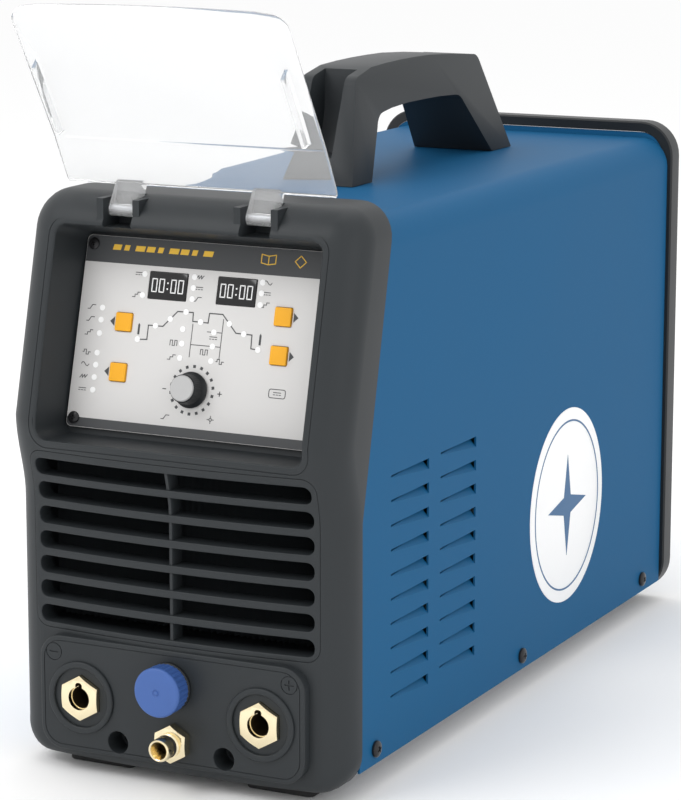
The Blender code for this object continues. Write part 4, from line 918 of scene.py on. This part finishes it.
def panel_plate():
    """Membrane panel: light face between a dark header and a dark foot strip."""
    outline = centred(0, 0, FACE_HALF_W, FACE_HALF_H, FACE_CORNER, 6)
    plate = slab("panel_plate", outline, -0.002, 0.0, FACE, PANEL_PLACE, FACE_MARGIN, 3)
    windows = [centred(*at, 0.0120, 0.0076, 0.0006, 3) for at in DISPLAY_AT.values()]
    windows += [centred(*at, 0.0053, 0.0053, 0.0009, 3) for at in BUTTON_AT] + [circle(*KNOB_AT, 0.0038, 24)]
    cut(plate, *(cutter(window, *HOLE_RANGE, PANEL_PLACE) for window in windows))
    show(plate, "casing", "panel_face", "control_panel")

    def corner(side, end, start):
        inset = FACE_CORNER + FACE_MARGIN
        x, y = side * (FACE_HALF_W - inset), end * (FACE_HALF_H - inset)
        return arc(x, y, FACE_CORNER, start, start + 90, 6)

    half = FACE_HALF_W - FACE_MARGIN
    head = [(-half, HEAD_LOW), (half, HEAD_LOW)] + corner(1, 1, 0) + corner(-1, 1, 90)
    foot = [(-half, FOOT_HIGH)] + corner(-1, -1, 180) + corner(1, -1, 270) + [(half, FOOT_HIGH)]
    on_panel("panel_bands", [head, foot], INK_DARK, 0.00004)


def panel_print():
    """Generic marks: a weld-cycle curve, indicator dots, pointers, a dial's ticks and icons."""
    dark = stroke(CYCLE, 0.0006)
    for line in GUIDES:
        dark += stroke(mm(*line), FINE_LINE)
    half = 0.0006
    for u in (-38.0 / 1000, 36.2 / 1000):
        dark.append([(u - half, 0.0004), (u + half, 0.0004), (u + half, 0.0056), (u, 0.0066),
                     (u - half, 0.0056)])
    for a in turns(TICKS):
        u, v = KNOB_AT[0] + TICK_RING * math.sin(a), KNOB_AT[1] + TICK_RING * math.cos(a)
        along, out = Vector((math.cos(a), -math.sin(a))), Vector((math.sin(a), math.cos(a)))
        t = TICK_HALF
        dark.append([(u + along.x * p + out.x * q, v + along.y * p + out.y * q)
                     for p, q in ((-t, t), (t, t), (t, -t), (-t, -t))])
    for line in SIGNS:
        dark += stroke(mm(*line), MARK_LINE)
    for index, (u, v) in enumerate(BUTTON_AT):
        side = -1 if index < 2 else 1
        root = u + side * 0.0060
        dark.append([(root, v - 0.0026), (u + side * 0.0088, v), (root, v + 0.0026)][::side])
    for u, v, kind in ICONS_AT:
        dark += icon(u, v, kind)
    box = rounded(0.0450, -0.0266, 0.0548, -0.0220, 0.0012, 4)
    dark += stroke(box + box[:1], FINE_LINE) + icon(49.9, -24.3, "dashes")
    on_panel("panel_marks", dark, INK_DARK)
    on_panel("panel_leds", [circle(u, v, 0.0016, 20) for u, v in LEDS], INK_WHITE, 0.00022)


def icon(u, v, kind):
    """Strokes of one line icon, about 5 mm wide, centred at (u, v) millimetres."""
    strokes = []
    for line in ICONS[kind]:
        strokes += stroke(mm(*((u + a, v + b) for a, b in line)), ICON_LINE)
    return strokes


def header_print():
    """Generic header marks: a row of slanted bars, an open book and a diamond outline."""
    low, high, slant = 45.2, 48.2, 0.7
    marks = []
    for k in range(9):
        u, wide = -60.0 + 7.0 * k, (5.0, 3.2, 5.8)[k % 3]
        marks.append(mm((u, low), (u + wide, low), (u + wide + slant, high), (u + slant, high)))
    book = mm((31.5, 44.2), (35.8, 43.4), (40.1, 44.2), (40.1, 48.8), (35.8, 48.0), (31.5, 48.8),
              (31.5, 44.2))
    diamond = mm((54.9, 43.0), (58.2, 46.2), (54.9, 49.4), (51.6, 46.2), (54.9, 43.0))
    for line in (book, mm((35.8, 43.4), (35.8, 48.0)), diamond):
        marks += stroke(line, MARK_LINE)
    on_panel("header_marks", marks, INK_YELLOW)


def zero(u, v):
    """Segments of a seven-segment nought."""
    w, h = DIGIT_W / 2, DIGIT_H / 2
    ends = ((-w, h, w, h), (w, h, w, 0), (w, 0, w, -h), (-w, -h, w, -h), (-w, -h, -w, 0), (-w, 0, -w, h))
    return [bar(u + x0 * 0.92, v + y0 * 0.94, u + x1 * 0.92, v + y1 * 0.94, DIGIT_LINE)
            for x0, y0, x1, y1 in ends]


def displays():
    """Glass windows with seven-segment digits lit behind them."""
    for side, (u, v) in DISPLAY_AT.items():
        window = slab(f"display_window_{side}", centred(u, v, 0.0117, 0.0073, 0.0006, 3), -0.0025,
                      DISPLAY_TOP, GLOSS_BLACK, PANEL_PLACE, 0.0002, 2)
        show(window, "casing", "display", f"display_{side}")
        marks = []
        for at in (-0.0081, -0.0036, 0.0036, 0.0081):
            marks += zero(u + at, v)
        marks += [circle(u, v + rise, 0.0005, 10) for rise in (0.0016, -0.0016)]
        on_panel(f"display_digits_{side}", marks, INK_WHITE, DISPLAY_TOP + 0.00004, DISPLAY_TOP - 0.0001,
                 "display")


def buttons():
    """Square caps with rounded edges and corners."""
    for index, at in enumerate(BUTTON_AT, 1):
        cap = slab(f"button_cap_{index}", centred(*at, CAP_HALF, CAP_HALF, 0.0008, 5), -0.0038, 0.0014,
                   YELLOW, PANEL_PLACE, 0.0005)
        show(cap, f"button_{index}", "button_yellow", f"button_{index}")


def ridged(name, levels, steps, dip, mats, place, angle=40):
    """Skins circles (radius, height, marked); the marked ones dip by dip(angle)."""
    rings = [[polar(radius - marked * dip(a), a, height) for a in turns(steps)]
             for radius, height, marked in levels]
    return loft(name, rings, mats, place, angle=angle)


def knob():
    """Fluted skirt, bored for its encoder, with a grey cap."""
    place = PANEL_PLACE @ Matrix.Translation((*KNOB_AT, 0.0))
    flutes, deep = 36, 0.00022
    levels = [(0.0040, 0.0008, 0), (0.0096, 0.0008, 0), (0.0098, 0.0010, 0), (0.0098, 0.0020, 0),
              (0.0095, 0.0023, 0), (0.0083, 0.0036, 0), (0.0081, 0.0042, 1), (0.0078, 0.0098, 1),
              (0.0076, 0.0104, 0), (0.0072, 0.0108, 0)]
    skirt = ridged("knob_skirt", levels, 144, lambda a: deep * (0.5 + 0.5 * math.cos(flutes * a)),
                   PLASTIC_DARK, place)
    for radius, depth in ((0.0040, 0.0052), (0.0032, 0.0095)):
        cut(skirt, round_cutter(0, 0, radius, 0.0, depth, place, 32))
    show(skirt, "knob", "black_plastic", "encoder_knob")
    top = 0.0111
    profile = [(0.0, top + 0.0006), (0.0050, top + 0.0008), (0.0066, top + 0.0008), (0.0070, top + 0.0004),
               (0.0071, top), (0.0, top)]
    show(lathe("knob_top", profile, CAP_GREY, place), "knob", "knob_grey", "knob_cap")


def pan_screw(name, node, place, radius, height, seat=0.0, shank=0.0):
    """Domed head with a cross recess."""
    crown, waist, taper = 0.45, radius * 0.4, 0.6
    profile = [(radius * math.sin(a), seat + height * (crown + (1 - crown) * math.cos(a)))
               for a in (math.pi / 2 * k / 8 for k in range(9))]
    profile += [(radius, seat + SEAT_GAP), (waist, seat + SEAT_GAP), (waist, seat - shank - 0.001),
                (0.0, seat - shank - 0.001)]
    head = lathe(name, profile, SCREW_BLACK, place, 32)
    arm, wide = radius * 0.52, radius * 0.13
    rings = [[(x * arm * size, y * wide * size, h) for x, y in ((-1, -1), (1, -1), (1, 1), (-1, 1))]
             for size, h in ((taper, seat + height * crown), (1.0, seat + height * 1.2))]
    cut(head, *(loft("cutter", rings, SCREW_BLACK, place @ about("Z", turn)) for turn in (0, 90)))
    show(head, "casing", "black_screw", node)


def screws():
    """Four screws in the panel and six in the case's sides, each turned its own way."""
    half_u, half_v = 0.0718, 0.0477
    corners = ((-half_u, half_v), (half_u, half_v), (-half_u, -half_v), (half_u, -half_v))
    for index, (u, v) in enumerate(corners, 1):
        spot = PANEL_PLACE @ Matrix.Translation((u, v, 0.0)) @ Matrix.Rotation(0.5 * index, 4, "Z")
        pan_screw(f"panel_screw_head_{index}", f"panel_screw_{index}", spot, 0.0033, 0.0017)
    for index in range(1, 7):
        x, y, z = middle(f"cover_screw_{index}")
        spot = (Matrix.Translation((0.0, y, z)) @ about("Y", 90 if x > 0 else -90)
                @ Matrix.Rotation(0.9 * index, 4, "Z"))
        pan_screw(f"cover_screw_head_{index}", f"cover_screw_{index}", spot, 0.0046, 0.0028, COVER_HALF,
                  0.004)


# ---- connectors ----
SOCKET_FRONT, FRONT_SEAT = PLATE_Y + 0.0018, PLATE_Y + SEAT_GAP
COLLAR_R, MOUTH_R, COLLAR_EDGE = 0.0203, 0.0165, 0.0012
NOZZLE_R = 0.0045


def hexagon(radius):
    return [polar(radius, math.radians(60 * k + 30)) for k in range(6)]


def hex_block(name, across_flats, low, high, mats, place, chamfer):
    """A hexagon whose front corners are turned off, as a machined nut's are."""
    flat = across_flats / 2
    radius = flat / math.cos(math.radians(30))
    nut = slab(name, hexagon(radius), low, high, mats, place)
    cone = [(0.0, high + 0.0001), (flat - chamfer * 0.2, high + 0.0001), (radius + 0.0004, high - chamfer),
            (radius + 0.0004, low - 0.001), (0.0, low - 0.001)]
    return carve(nut, "INTERSECT", lathe("cutter", cone, mats, place, 64))


def sockets():
    """Cable sockets: a collar round a brass hexagon with a dark bore and a key slot."""
    for side, sign in (("minus", -1), ("plus", 1)):
        place = front_place(sign * SOCKET_X, SOCKET_Z)
        profile = [(MOUTH_R, 0.2362), (MOUTH_R, SOCKET_FRONT - COLLAR_EDGE)]
        profile += [(MOUTH_R + COLLAR_EDGE * inward, SOCKET_FRONT - COLLAR_EDGE * drop)
                    for inward, drop in quarter(5, 1)]
        profile += [(COLLAR_R - COLLAR_EDGE * drop, SOCKET_FRONT - COLLAR_EDGE * inward)
                    for inward, drop in quarter(5)]
        profile += [(COLLAR_R, FRONT_SEAT), (0.0170, FRONT_SEAT), (0.0170, 0.2080), (0.0134, 0.2080),
                    (0.0134, 0.2362)]
        collar = lathe(f"socket_collar_{side}", profile, PLASTIC, place, 72, True)
        floor = slab("floor", circle(0, 0, 0.0168, 60), 0.2335, 0.2368, PLASTIC, place)
        join(collar, cut(floor, cutter(hexagon(0.01295), 0.23, 0.25, place)))
        show(collar, "casing", "black_plastic", f"socket_housing_{side}")
        contact = hex_block(f"socket_insert_{side}", 0.022, 0.2275, 0.2400, BRASS, place, 0.0010)
        barrel = [(0.0, 0.2280), (0.0100, 0.2280), (0.0100, 0.2040), (0.0050, 0.2040), (0.0050, 0.1880),
                  (0.0, 0.1880)]
        join(contact, lathe("barrel", barrel, BRASS, place, 40))
        cut(contact, round_cutter(0, 0, 0.0065, 0.2366, 0.25, place, mats=BRASS),
            cutter(rounded(-0.0021, 0.0030, 0.0021, 0.0090, 0.0018, 5), 0.2230, 0.25, place, BORE_DARK),
            round_cutter(0, 0, 0.0062, 0.2150, 0.25, place, mats=BORE_DARK), finish=True)
        show(contact, "casing", "brass", f"socket_contact_{side}")


def dust_cap():
    """Ribbed cap with a rounded front edge and a moulded dimple, and the connector under it."""
    place = front_place(0.0, CONNECTOR_Z)
    low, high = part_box("dust_cap")
    back, front = -high.y, -low.y
    radius = (high.z - low.z) / 2
    ribs, deep, edge = 30, 0.0007, 0.0016
    levels = [(0.0105, back, 0), (radius - 0.0008, back, 0), (radius - 0.0003, back + 0.0004, 1),
              (radius - 0.0002, back + 0.0020, 1), (radius - 0.0002, front - 0.0032, 1)]
    levels += [(radius - edge * inward, front - edge * drop, 0) for inward, drop in quarter(6)]
    levels += [(0.0022, front, 0), (0.0017, front - 0.0005, 0), (0.0011, front - 0.0005, 0),
               (0.0009, front - 0.0001, 0)]
    cap = ridged("ribbed_cap", levels, 180, lambda a: deep * abs(math.sin(ribs * a / 2)) ** 3, CAP_BLUE,
                 place)
    cut(cap, round_cutter(0, 0, 0.0105, back - 0.001, 0.2494, place, 48))
    show(cap, "dust_cap", "cap_blue", "dust_cap")
    profile = [(0.0, 0.2490), (0.0092, 0.2490), (0.0100, 0.2482), (0.0100, PLATE_Y + 0.0025),
               (0.0128, PLATE_Y + 0.0025), (0.0134, PLATE_Y + 0.0019), (0.0134, FRONT_SEAT),
               (0.0104, FRONT_SEAT), (0.0104, 0.2180), (0.0, 0.2180)]
    shell = lathe("connector_shell", profile, PLASTIC_DARK, place, 64)
    cut(shell, *(round_cutter(*polar(0.0055, a), 0.0012, 0.2430, 0.26, place, 16) for a in turns(5, 0.3)))
    show(shell, "casing", "black_plastic", "control_connector")


def gas_fitting():
    """Brass hexagon, dark seal ring and a nozzle with a conical mouth."""
    place = front_place(GAS_X, GAS_Z)
    fitting = hex_block("gas_fitting", 0.0185, FRONT_SEAT, 0.2432, BRASS, place, 0.0009)
    profile = [(0.0022, 0.2470), (0.0049, 0.2549), (0.0053, 0.2552), (0.0059, 0.2550), (0.0063, 0.2543),
               (0.0063, 0.2492), (0.0052, 0.2482), (0.0052, 0.2460), (0.0068, 0.2450), (0.0068, 0.2425),
               (0.0058, 0.2420), (0.0058, 0.2120), (0.0042, 0.2110), (0.0042, 0.2010), (0.0022, 0.2010)]
    cut(fitting, round_cutter(0, 0, NOZZLE_R, 0.19, 0.27, place))
    join(fitting, lathe("nozzle", profile, BRASS, place, 56, True))
    cut(fitting, round_cutter(0, 0, 0.0025, 0.2020, 0.2480, place, 28, BORE_DARK), finish=True)
    show(fitting, "casing", "brass", "gas_outlet")
    seal = [(0.0064, 0.2478), (0.0064, 0.2464), (0.0053, 0.2464), (0.0053, 0.2478)]
    show(lathe("gas_seal", seal, RUBBER, place, 48, True), "casing", "brass")


# ---- side badges ----
def badges():
    """Blank oval badge with a plain ring and a spark of four points, on each side."""
    y, z, half_y, half_z = 0.0768, 0.1010, 0.0573, 0.0600
    thick, mark_thick, ring_size, ring_width, tip, waist = 0.00035, 0.0005, 0.86, 0.0011, 0.0300, 0.0075
    x, mark_top = COVER_HALF, COVER_HALF + mark_thick
    oval = [(half_y * math.cos(a), half_z * math.sin(a)) for a in turns(96)]
    line = [(a * ring_size, b * ring_size) for a, b in oval]
    for name, sign in (("right", 1), ("left", -1)):
        place = Matrix.Translation((0, y, z)) @ about("Y", 90 * sign) @ about("Z", 90 * sign)
        show(slab(f"badge_{name}", oval, x - 0.0004, x + thick, BADGE_WHITE, place, 0.0002, 2),
             "casing", "blue_paint")
        spark = []
        for k in range(8):
            a, r = math.pi / 4 * k, waist if k % 2 else tip
            spark.append((r * math.cos(a), r * math.sin(a) * 1.05))
        show(slab(f"badge_spark_{name}", spark, x, mark_top, BADGE_BLUE, place), "casing", "blue_paint")
        ring = [raised(moved_out(line, out), h)
                for out, h in ((0.0, x), (0.0, mark_top), (ring_width, mark_top), (ring_width, x))]
        show(loft(f"badge_ring_{name}", ring, BADGE_BLUE, place, around=True), "casing", "blue_paint")


panel_plate()
panel_print()
header_print()
displays()
buttons()
knob()
screws()
sockets()
dust_cap()
gas_fitting()
badges()

# ---- rear equipment ----
FAN_Z, FAN_R, FAN_HALF, FAN_SCREW = 0.190, 0.0565, 0.060, 0.0525
BLADES, BLADE_STATIONS, BLADE_ROOT, BLADE_LENGTH = 7, 8, 0.0165, 0.0365
PANEL_FRONT, PANEL_BACK = 0.2408, 0.2423
PANEL_CUT = (0.23, 0.25)     # heights of a cutter that goes right through the rear panel
SEAT = 0.2426
SWITCH_X, SWITCH_Z = 0.045, 0.284
ROCKER_LEFT, ROCKER_RIGHT = (-0.0106, 0.0048), (0.0108, 0.0012)     # top corners of the rocker
GLAND_X, GLAND_Z = -0.055, 0.070
INLET_X, INLET_Z = 0.055, 0.070
EARTH_Z = 0.050
GUARD_RINGS = (0.0580, 0.0510, 0.0440, 0.0360, 0.0280, 0.0200)
WIRE_R, GUARD_WIRE_RISE = 0.0010, 0.0017
THREAD_R, THREAD_ROOT, THREAD_START, HALF_PITCH = 0.0030, 0.0027, 0.2452, 0.00045


def rear_plate():
    """Sheet-metal rear panel with its openings and two shallow grooves."""
    low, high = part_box("rear_panel")
    plate = slab("rear_plate", rounded(low.x, low.z, high.x, high.z, 0.0152, 8), PANEL_FRONT, PANEL_BACK,
                 PAINT, REAR, 0.0003, 2)
    holes = [round_cutter(0.0, FAN_Z, FAN_R, *PANEL_CUT, REAR, 72),
             cutter(centred(-SWITCH_X, SWITCH_Z, 0.0143, 0.0113, 0.001, 3), *PANEL_CUT, REAR)]
    for x, z, radius in ((GLAND_X, GLAND_Z, 0.0105), (INLET_X, INLET_Z, 0.0053), (0.0, EARTH_Z, 0.0033)):
        holes.append(round_cutter(-x, z, radius, *PANEL_CUT, REAR, 32))
    for z in (0.092, 0.100):
        holes.append(cutter(rounded(-0.075, z, 0.075, z + 0.003, 0.0015, 6), PANEL_BACK - 0.0004, 0.25, REAR))
    cut(plate, *holes)
    show(plate, "casing", "blue_paint", "rear_panel")


def fan_assembly():
    """Frame with screw holes and spokes, a guard of round wires and a bladed rotor."""
    low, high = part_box("fan_housing")
    front, back = low.y, high.y
    through = (0.19, 0.26)
    place = rear_place(0, FAN_Z)
    housing = slab("fan_frame", centred(0, FAN_Z, FAN_HALF, FAN_HALF, 0.006, 6), front, back, PLASTIC_DARK,
                   REAR, 0.0008, 2, True)
    cut(housing, round_cutter(0, FAN_Z, FAN_R, *through, REAR, 72),
        *(round_cutter(x, FAN_Z + z, 0.0022, *through, REAR, 16)
          for x in (-FAN_SCREW, FAN_SCREW) for z in (-FAN_SCREW, FAN_SCREW)))
    seat = slab("seat", circle(0, FAN_Z, 0.0190, 40), front, front + 0.0030, PLASTIC_DARK, REAR, 0.0005, 2)
    spoke = rounded(0.0150, -0.0022, 0.0580, 0.0022, 0.0008, 3)
    join(housing, seat, *(slab("spoke", spoke, front + 0.0001, front + 0.0029, PLASTIC_DARK,
                               place @ about("Z", angle)) for angle in (45, 135, 225, 315)))
    show(housing, "casing", "black_plastic", "fan_housing")
    wires = []
    for radius in GUARD_RINGS:
        section = [(radius + 0.0011 * math.cos(a), SEAT + GUARD_WIRE_RISE + 0.0011 * math.sin(a))
                   for a in turns(10)]
        wires.append(lathe("wire", section, STEEL, place, 96, True))
    rod = [(WIRE_R * math.cos(a) - SEAT - GUARD_WIRE_RISE, WIRE_R * math.sin(a)) for a in turns(10)]
    for angle in (45, 135):
        wires.append(slab("wire", rod, -0.0585, 0.0585, STEEL, place @ about("Z", angle) @ about("Y", 90)))
    guard = wires[0]
    guard.name = "fan_wires"
    join(guard, *wires[1:])
    show(guard, "casing", "black_plastic", "fan_guard")
    hub0, hub1 = front + 0.0040, back - 0.0030
    profile = [(0.0, hub0), (0.0176, hub0), (0.0185, hub0 + 0.0008), (0.0185, hub1 - 0.0020),
               (0.0165, hub1), (0.0090, hub1), (0.0085, hub1 - 0.0004), (0.0, hub1 - 0.0004)]
    rotor = lathe("fan_blades", profile, PLASTIC_DARK, place, 56)
    join(rotor, *(fan_blade(place @ Matrix.Rotation(a, 4, "Z"), (hub0 + hub1) / 2) for a in turns(BLADES)))
    show(rotor, "fan", "black_plastic", "fan_rotor")


def fan_blade(spot, centre):
    """A cambered blade that twists flatter toward its tip."""
    stations = BLADE_STATIONS
    rings = []
    for k in range(stations + 1):
        t = k / stations
        pitch = math.radians(38 - 6 * t)
        chord = 0.0200 + 0.0014 * math.sin(math.pi * t)
        ring = []
        for side in (1, -1):
            for j in range(stations + 1):
                u = j / stations if side > 0 else 1 - j / stations
                y = (u - 0.5) * chord
                thick = 0.0007 * math.sin(math.pi * min(max(u, 0.08), 0.92))
                z = 0.0012 * math.sin(math.pi * u) + side * thick
                ring.append((BLADE_ROOT + BLADE_LENGTH * t, y * math.cos(pitch) - z * math.sin(pitch),
                             centre + y * math.sin(pitch) + z * math.cos(pitch)))
        rings.append(ring)
    return loft("blade", rings, PLASTIC_DARK, spot)


def power_switch():
    """Snap-in switch frame with a rounded rim, a plain rocker and three tabs behind."""
    place = rear_place(SWITCH_X, SWITCH_Z)
    body = slab("switch_frame", centred(0, 0, 0.0165, 0.0130, 0.0016, 5), SEAT, SEAT + 0.0022, PLASTIC_DARK,
                place, 0.0007, 3)
    join(body, slab("core", centred(0, 0, 0.0140, 0.0110, 0.001, 3), SEAT - 0.026, SEAT + 0.001, PLASTIC_DARK,
                    place))
    cut(body, cutter(centred(0, 0, 0.0118, 0.0088, 0.0004, 2), SEAT - 0.010, SEAT + 0.01, place))
    for index, offset in enumerate((-0.008, 0.0, 0.008), 1):
        x, half, half_z = SWITCH_X + offset, 0.0006, 0.0030
        tab = block(f"switch_tab_{index}", (x - half, 0.2086, SWITCH_Z - half_z),
                    (x + half, 0.2174, SWITCH_Z + half_z), BRASS)
        soften(tab, 0.0003, 1)
        show(tab, "casing", "black_plastic")
    show(body, "casing", "black_plastic", "mains_switch")
    (x0, y0), (x1, y1) = ROCKER_LEFT, ROCKER_RIGHT
    dished = [(x0 + (x1 - x0) * t, y0 * (1 - t) ** 2 + 2 * (1 - t) * t * 0.0010 + y1 * t * t)
              for t in (k / 10 for k in range(1, 10))]
    outline = [ROCKER_LEFT, *dished, ROCKER_RIGHT, (x1, -0.0030), (0.0075, -0.0060), (-0.0075, -0.0060),
               (x0, -0.0030)]
    wedge = slab("rocker_cap", outline, -0.0080, 0.0080, PLASTIC_DARK,
                 place @ Matrix.Translation((0, 0, SEAT)) @ about("X", 90))
    soften(wedge, 0.0004, 2, 35.0)
    show(wedge, "rocker", "black_plastic", "switch_rocker")


def rear_fittings():
    """Cable gland, gas hose barb and earth stud."""
    place = rear_place(GLAND_X, GLAND_Z)
    gland = hex_block("gland_nut", 0.0239, SEAT, SEAT + 0.0060, PLASTIC_DARK, place, 0.0008)
    ribs, deep = 12, 0.0006
    levels = [(0.0118, SEAT + 0.005, 0), (0.0118, 0.2492, 1), (0.0118, 0.2532, 1), (0.0110, 0.2546, 0),
              (0.0092, 0.2576, 0), (0.0088, 0.2579, 0), (0.0066, 0.2580, 0), (0.0063, 0.2576, 0)]
    dome = ridged("dome", levels, 120, lambda a: deep * abs(math.sin(ribs * a / 2)) ** 6, PLASTIC_DARK,
                  place, 32.0)
    join(gland, dome, slab("stem", circle(0, 0, 0.0100, 48), 0.2280, SEAT + 0.002, PLASTIC_DARK, place))
    cut(gland, round_cutter(0, 0, 0.0063, 0.22, 0.27, place, 48))
    show(gland, "casing", "black_plastic", "mains_cable_gland")
    place = rear_place(INLET_X, INLET_Z)
    inlet = hex_block("gas_barb", 0.0138, SEAT, SEAT + 0.0060, BRASS, place, 0.0006)
    profile = [(0.0, 0.2580), (0.0030, 0.2580), (0.0034, 0.2576), (0.0044, 0.2549), (0.0043, 0.2547),
               (0.0036, 0.2547), (0.0046, 0.2511), (0.0045, 0.2509), (0.0036, 0.2509), (0.0036, SEAT + 0.005),
               (0.0050, SEAT + 0.004), (0.0050, 0.2150), (0.0, 0.2150)]
    join(inlet, lathe("barb", profile, BRASS, place, 40))
    cut(inlet, round_cutter(0, 0, 0.0022, 0.2552, 0.27, place, 24))
    show(inlet, "casing", "brass", "gas_inlet")
    place = rear_place(0.0, EARTH_Z)
    stud = hex_block("earth_nut", 0.0112, SEAT, SEAT + 0.0050, BRASS, place, 0.0006)
    thread = [(THREAD_ROOT if k % 2 else THREAD_R, THREAD_START + k * HALF_PITCH) for k in range(17)]
    profile = [(0.0, 0.2290), (THREAD_R, 0.2290), *thread, (0.0024, 0.2530), (0.0, 0.2530)]
    join(stud, lathe("thread", profile, BRASS, place, 32))
    show(stud, "casing", "brass", "earth_stud")


# ---- feet and hinge pins ----
FOOT_T, FOOT_GROOVES, GROOVE_W, GROOVE_DEEP = 0.0056, 4, 0.0012, 0.0006


def feet():
    """Rubber feet with a rounded tread edge and grooves across the tread."""
    for name in ("front_foot_left", "front_foot_right", "rear_foot_left", "rear_foot_right"):
        low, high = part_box(name)
        pad = slab(f"{name}_pad", rounded(low.x, low.y, high.x, high.y, 0.004, 5), 0.0, FOOT_T, RUBBER,
                   edge=0.0012, steps=3, both=True)
        x = middle(name)[0]
        y0, y1 = (-0.2055, -0.1900) if low.y < 0 else (0.1990, 0.2300)
        join(pad, slab("stem", rounded(x - 0.0150, y0, x + 0.0150, y1, 0.0006, 2), 0.0040, 0.0150, RUBBER))
        rows = [low.y + (high.y - low.y) * k / (FOOT_GROOVES + 1) for k in range(1, FOOT_GROOVES + 1)]
        cut(pad, *(block("cutter", (low.x - 0.01, y, -0.001), (high.x + 0.01, y + GROOVE_W, GROOVE_DEEP),
                         RUBBER) for y in rows))
        show(pad, "casing", "rubber", name)


def hinge_pins():
    """Steel pins with rounded ends."""
    for side in ("left", "right"):
        low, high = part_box(f"hinge_pin_{side}")
        radius, length, end = (high.z - low.z) / 2, high.x - low.x, 0.0005
        _, y, z = middle(f"hinge_pin_{side}")
        profile = [(0.0, 0.0), (radius - end, 0.0), (radius, end), (radius, length - end),
                   (radius - end, length), (0.0, length)]
        pin = lathe(f"pin_{side}", profile, STEEL, Matrix.Translation((low.x, y, z)) @ about("Y", 90), 32)
        show(pin, "casing", "zinc_steel", f"hinge_pin_{side}")


rear_plate()
fan_assembly()
power_switch()
rear_fittings()
feet()
hinge_pins()
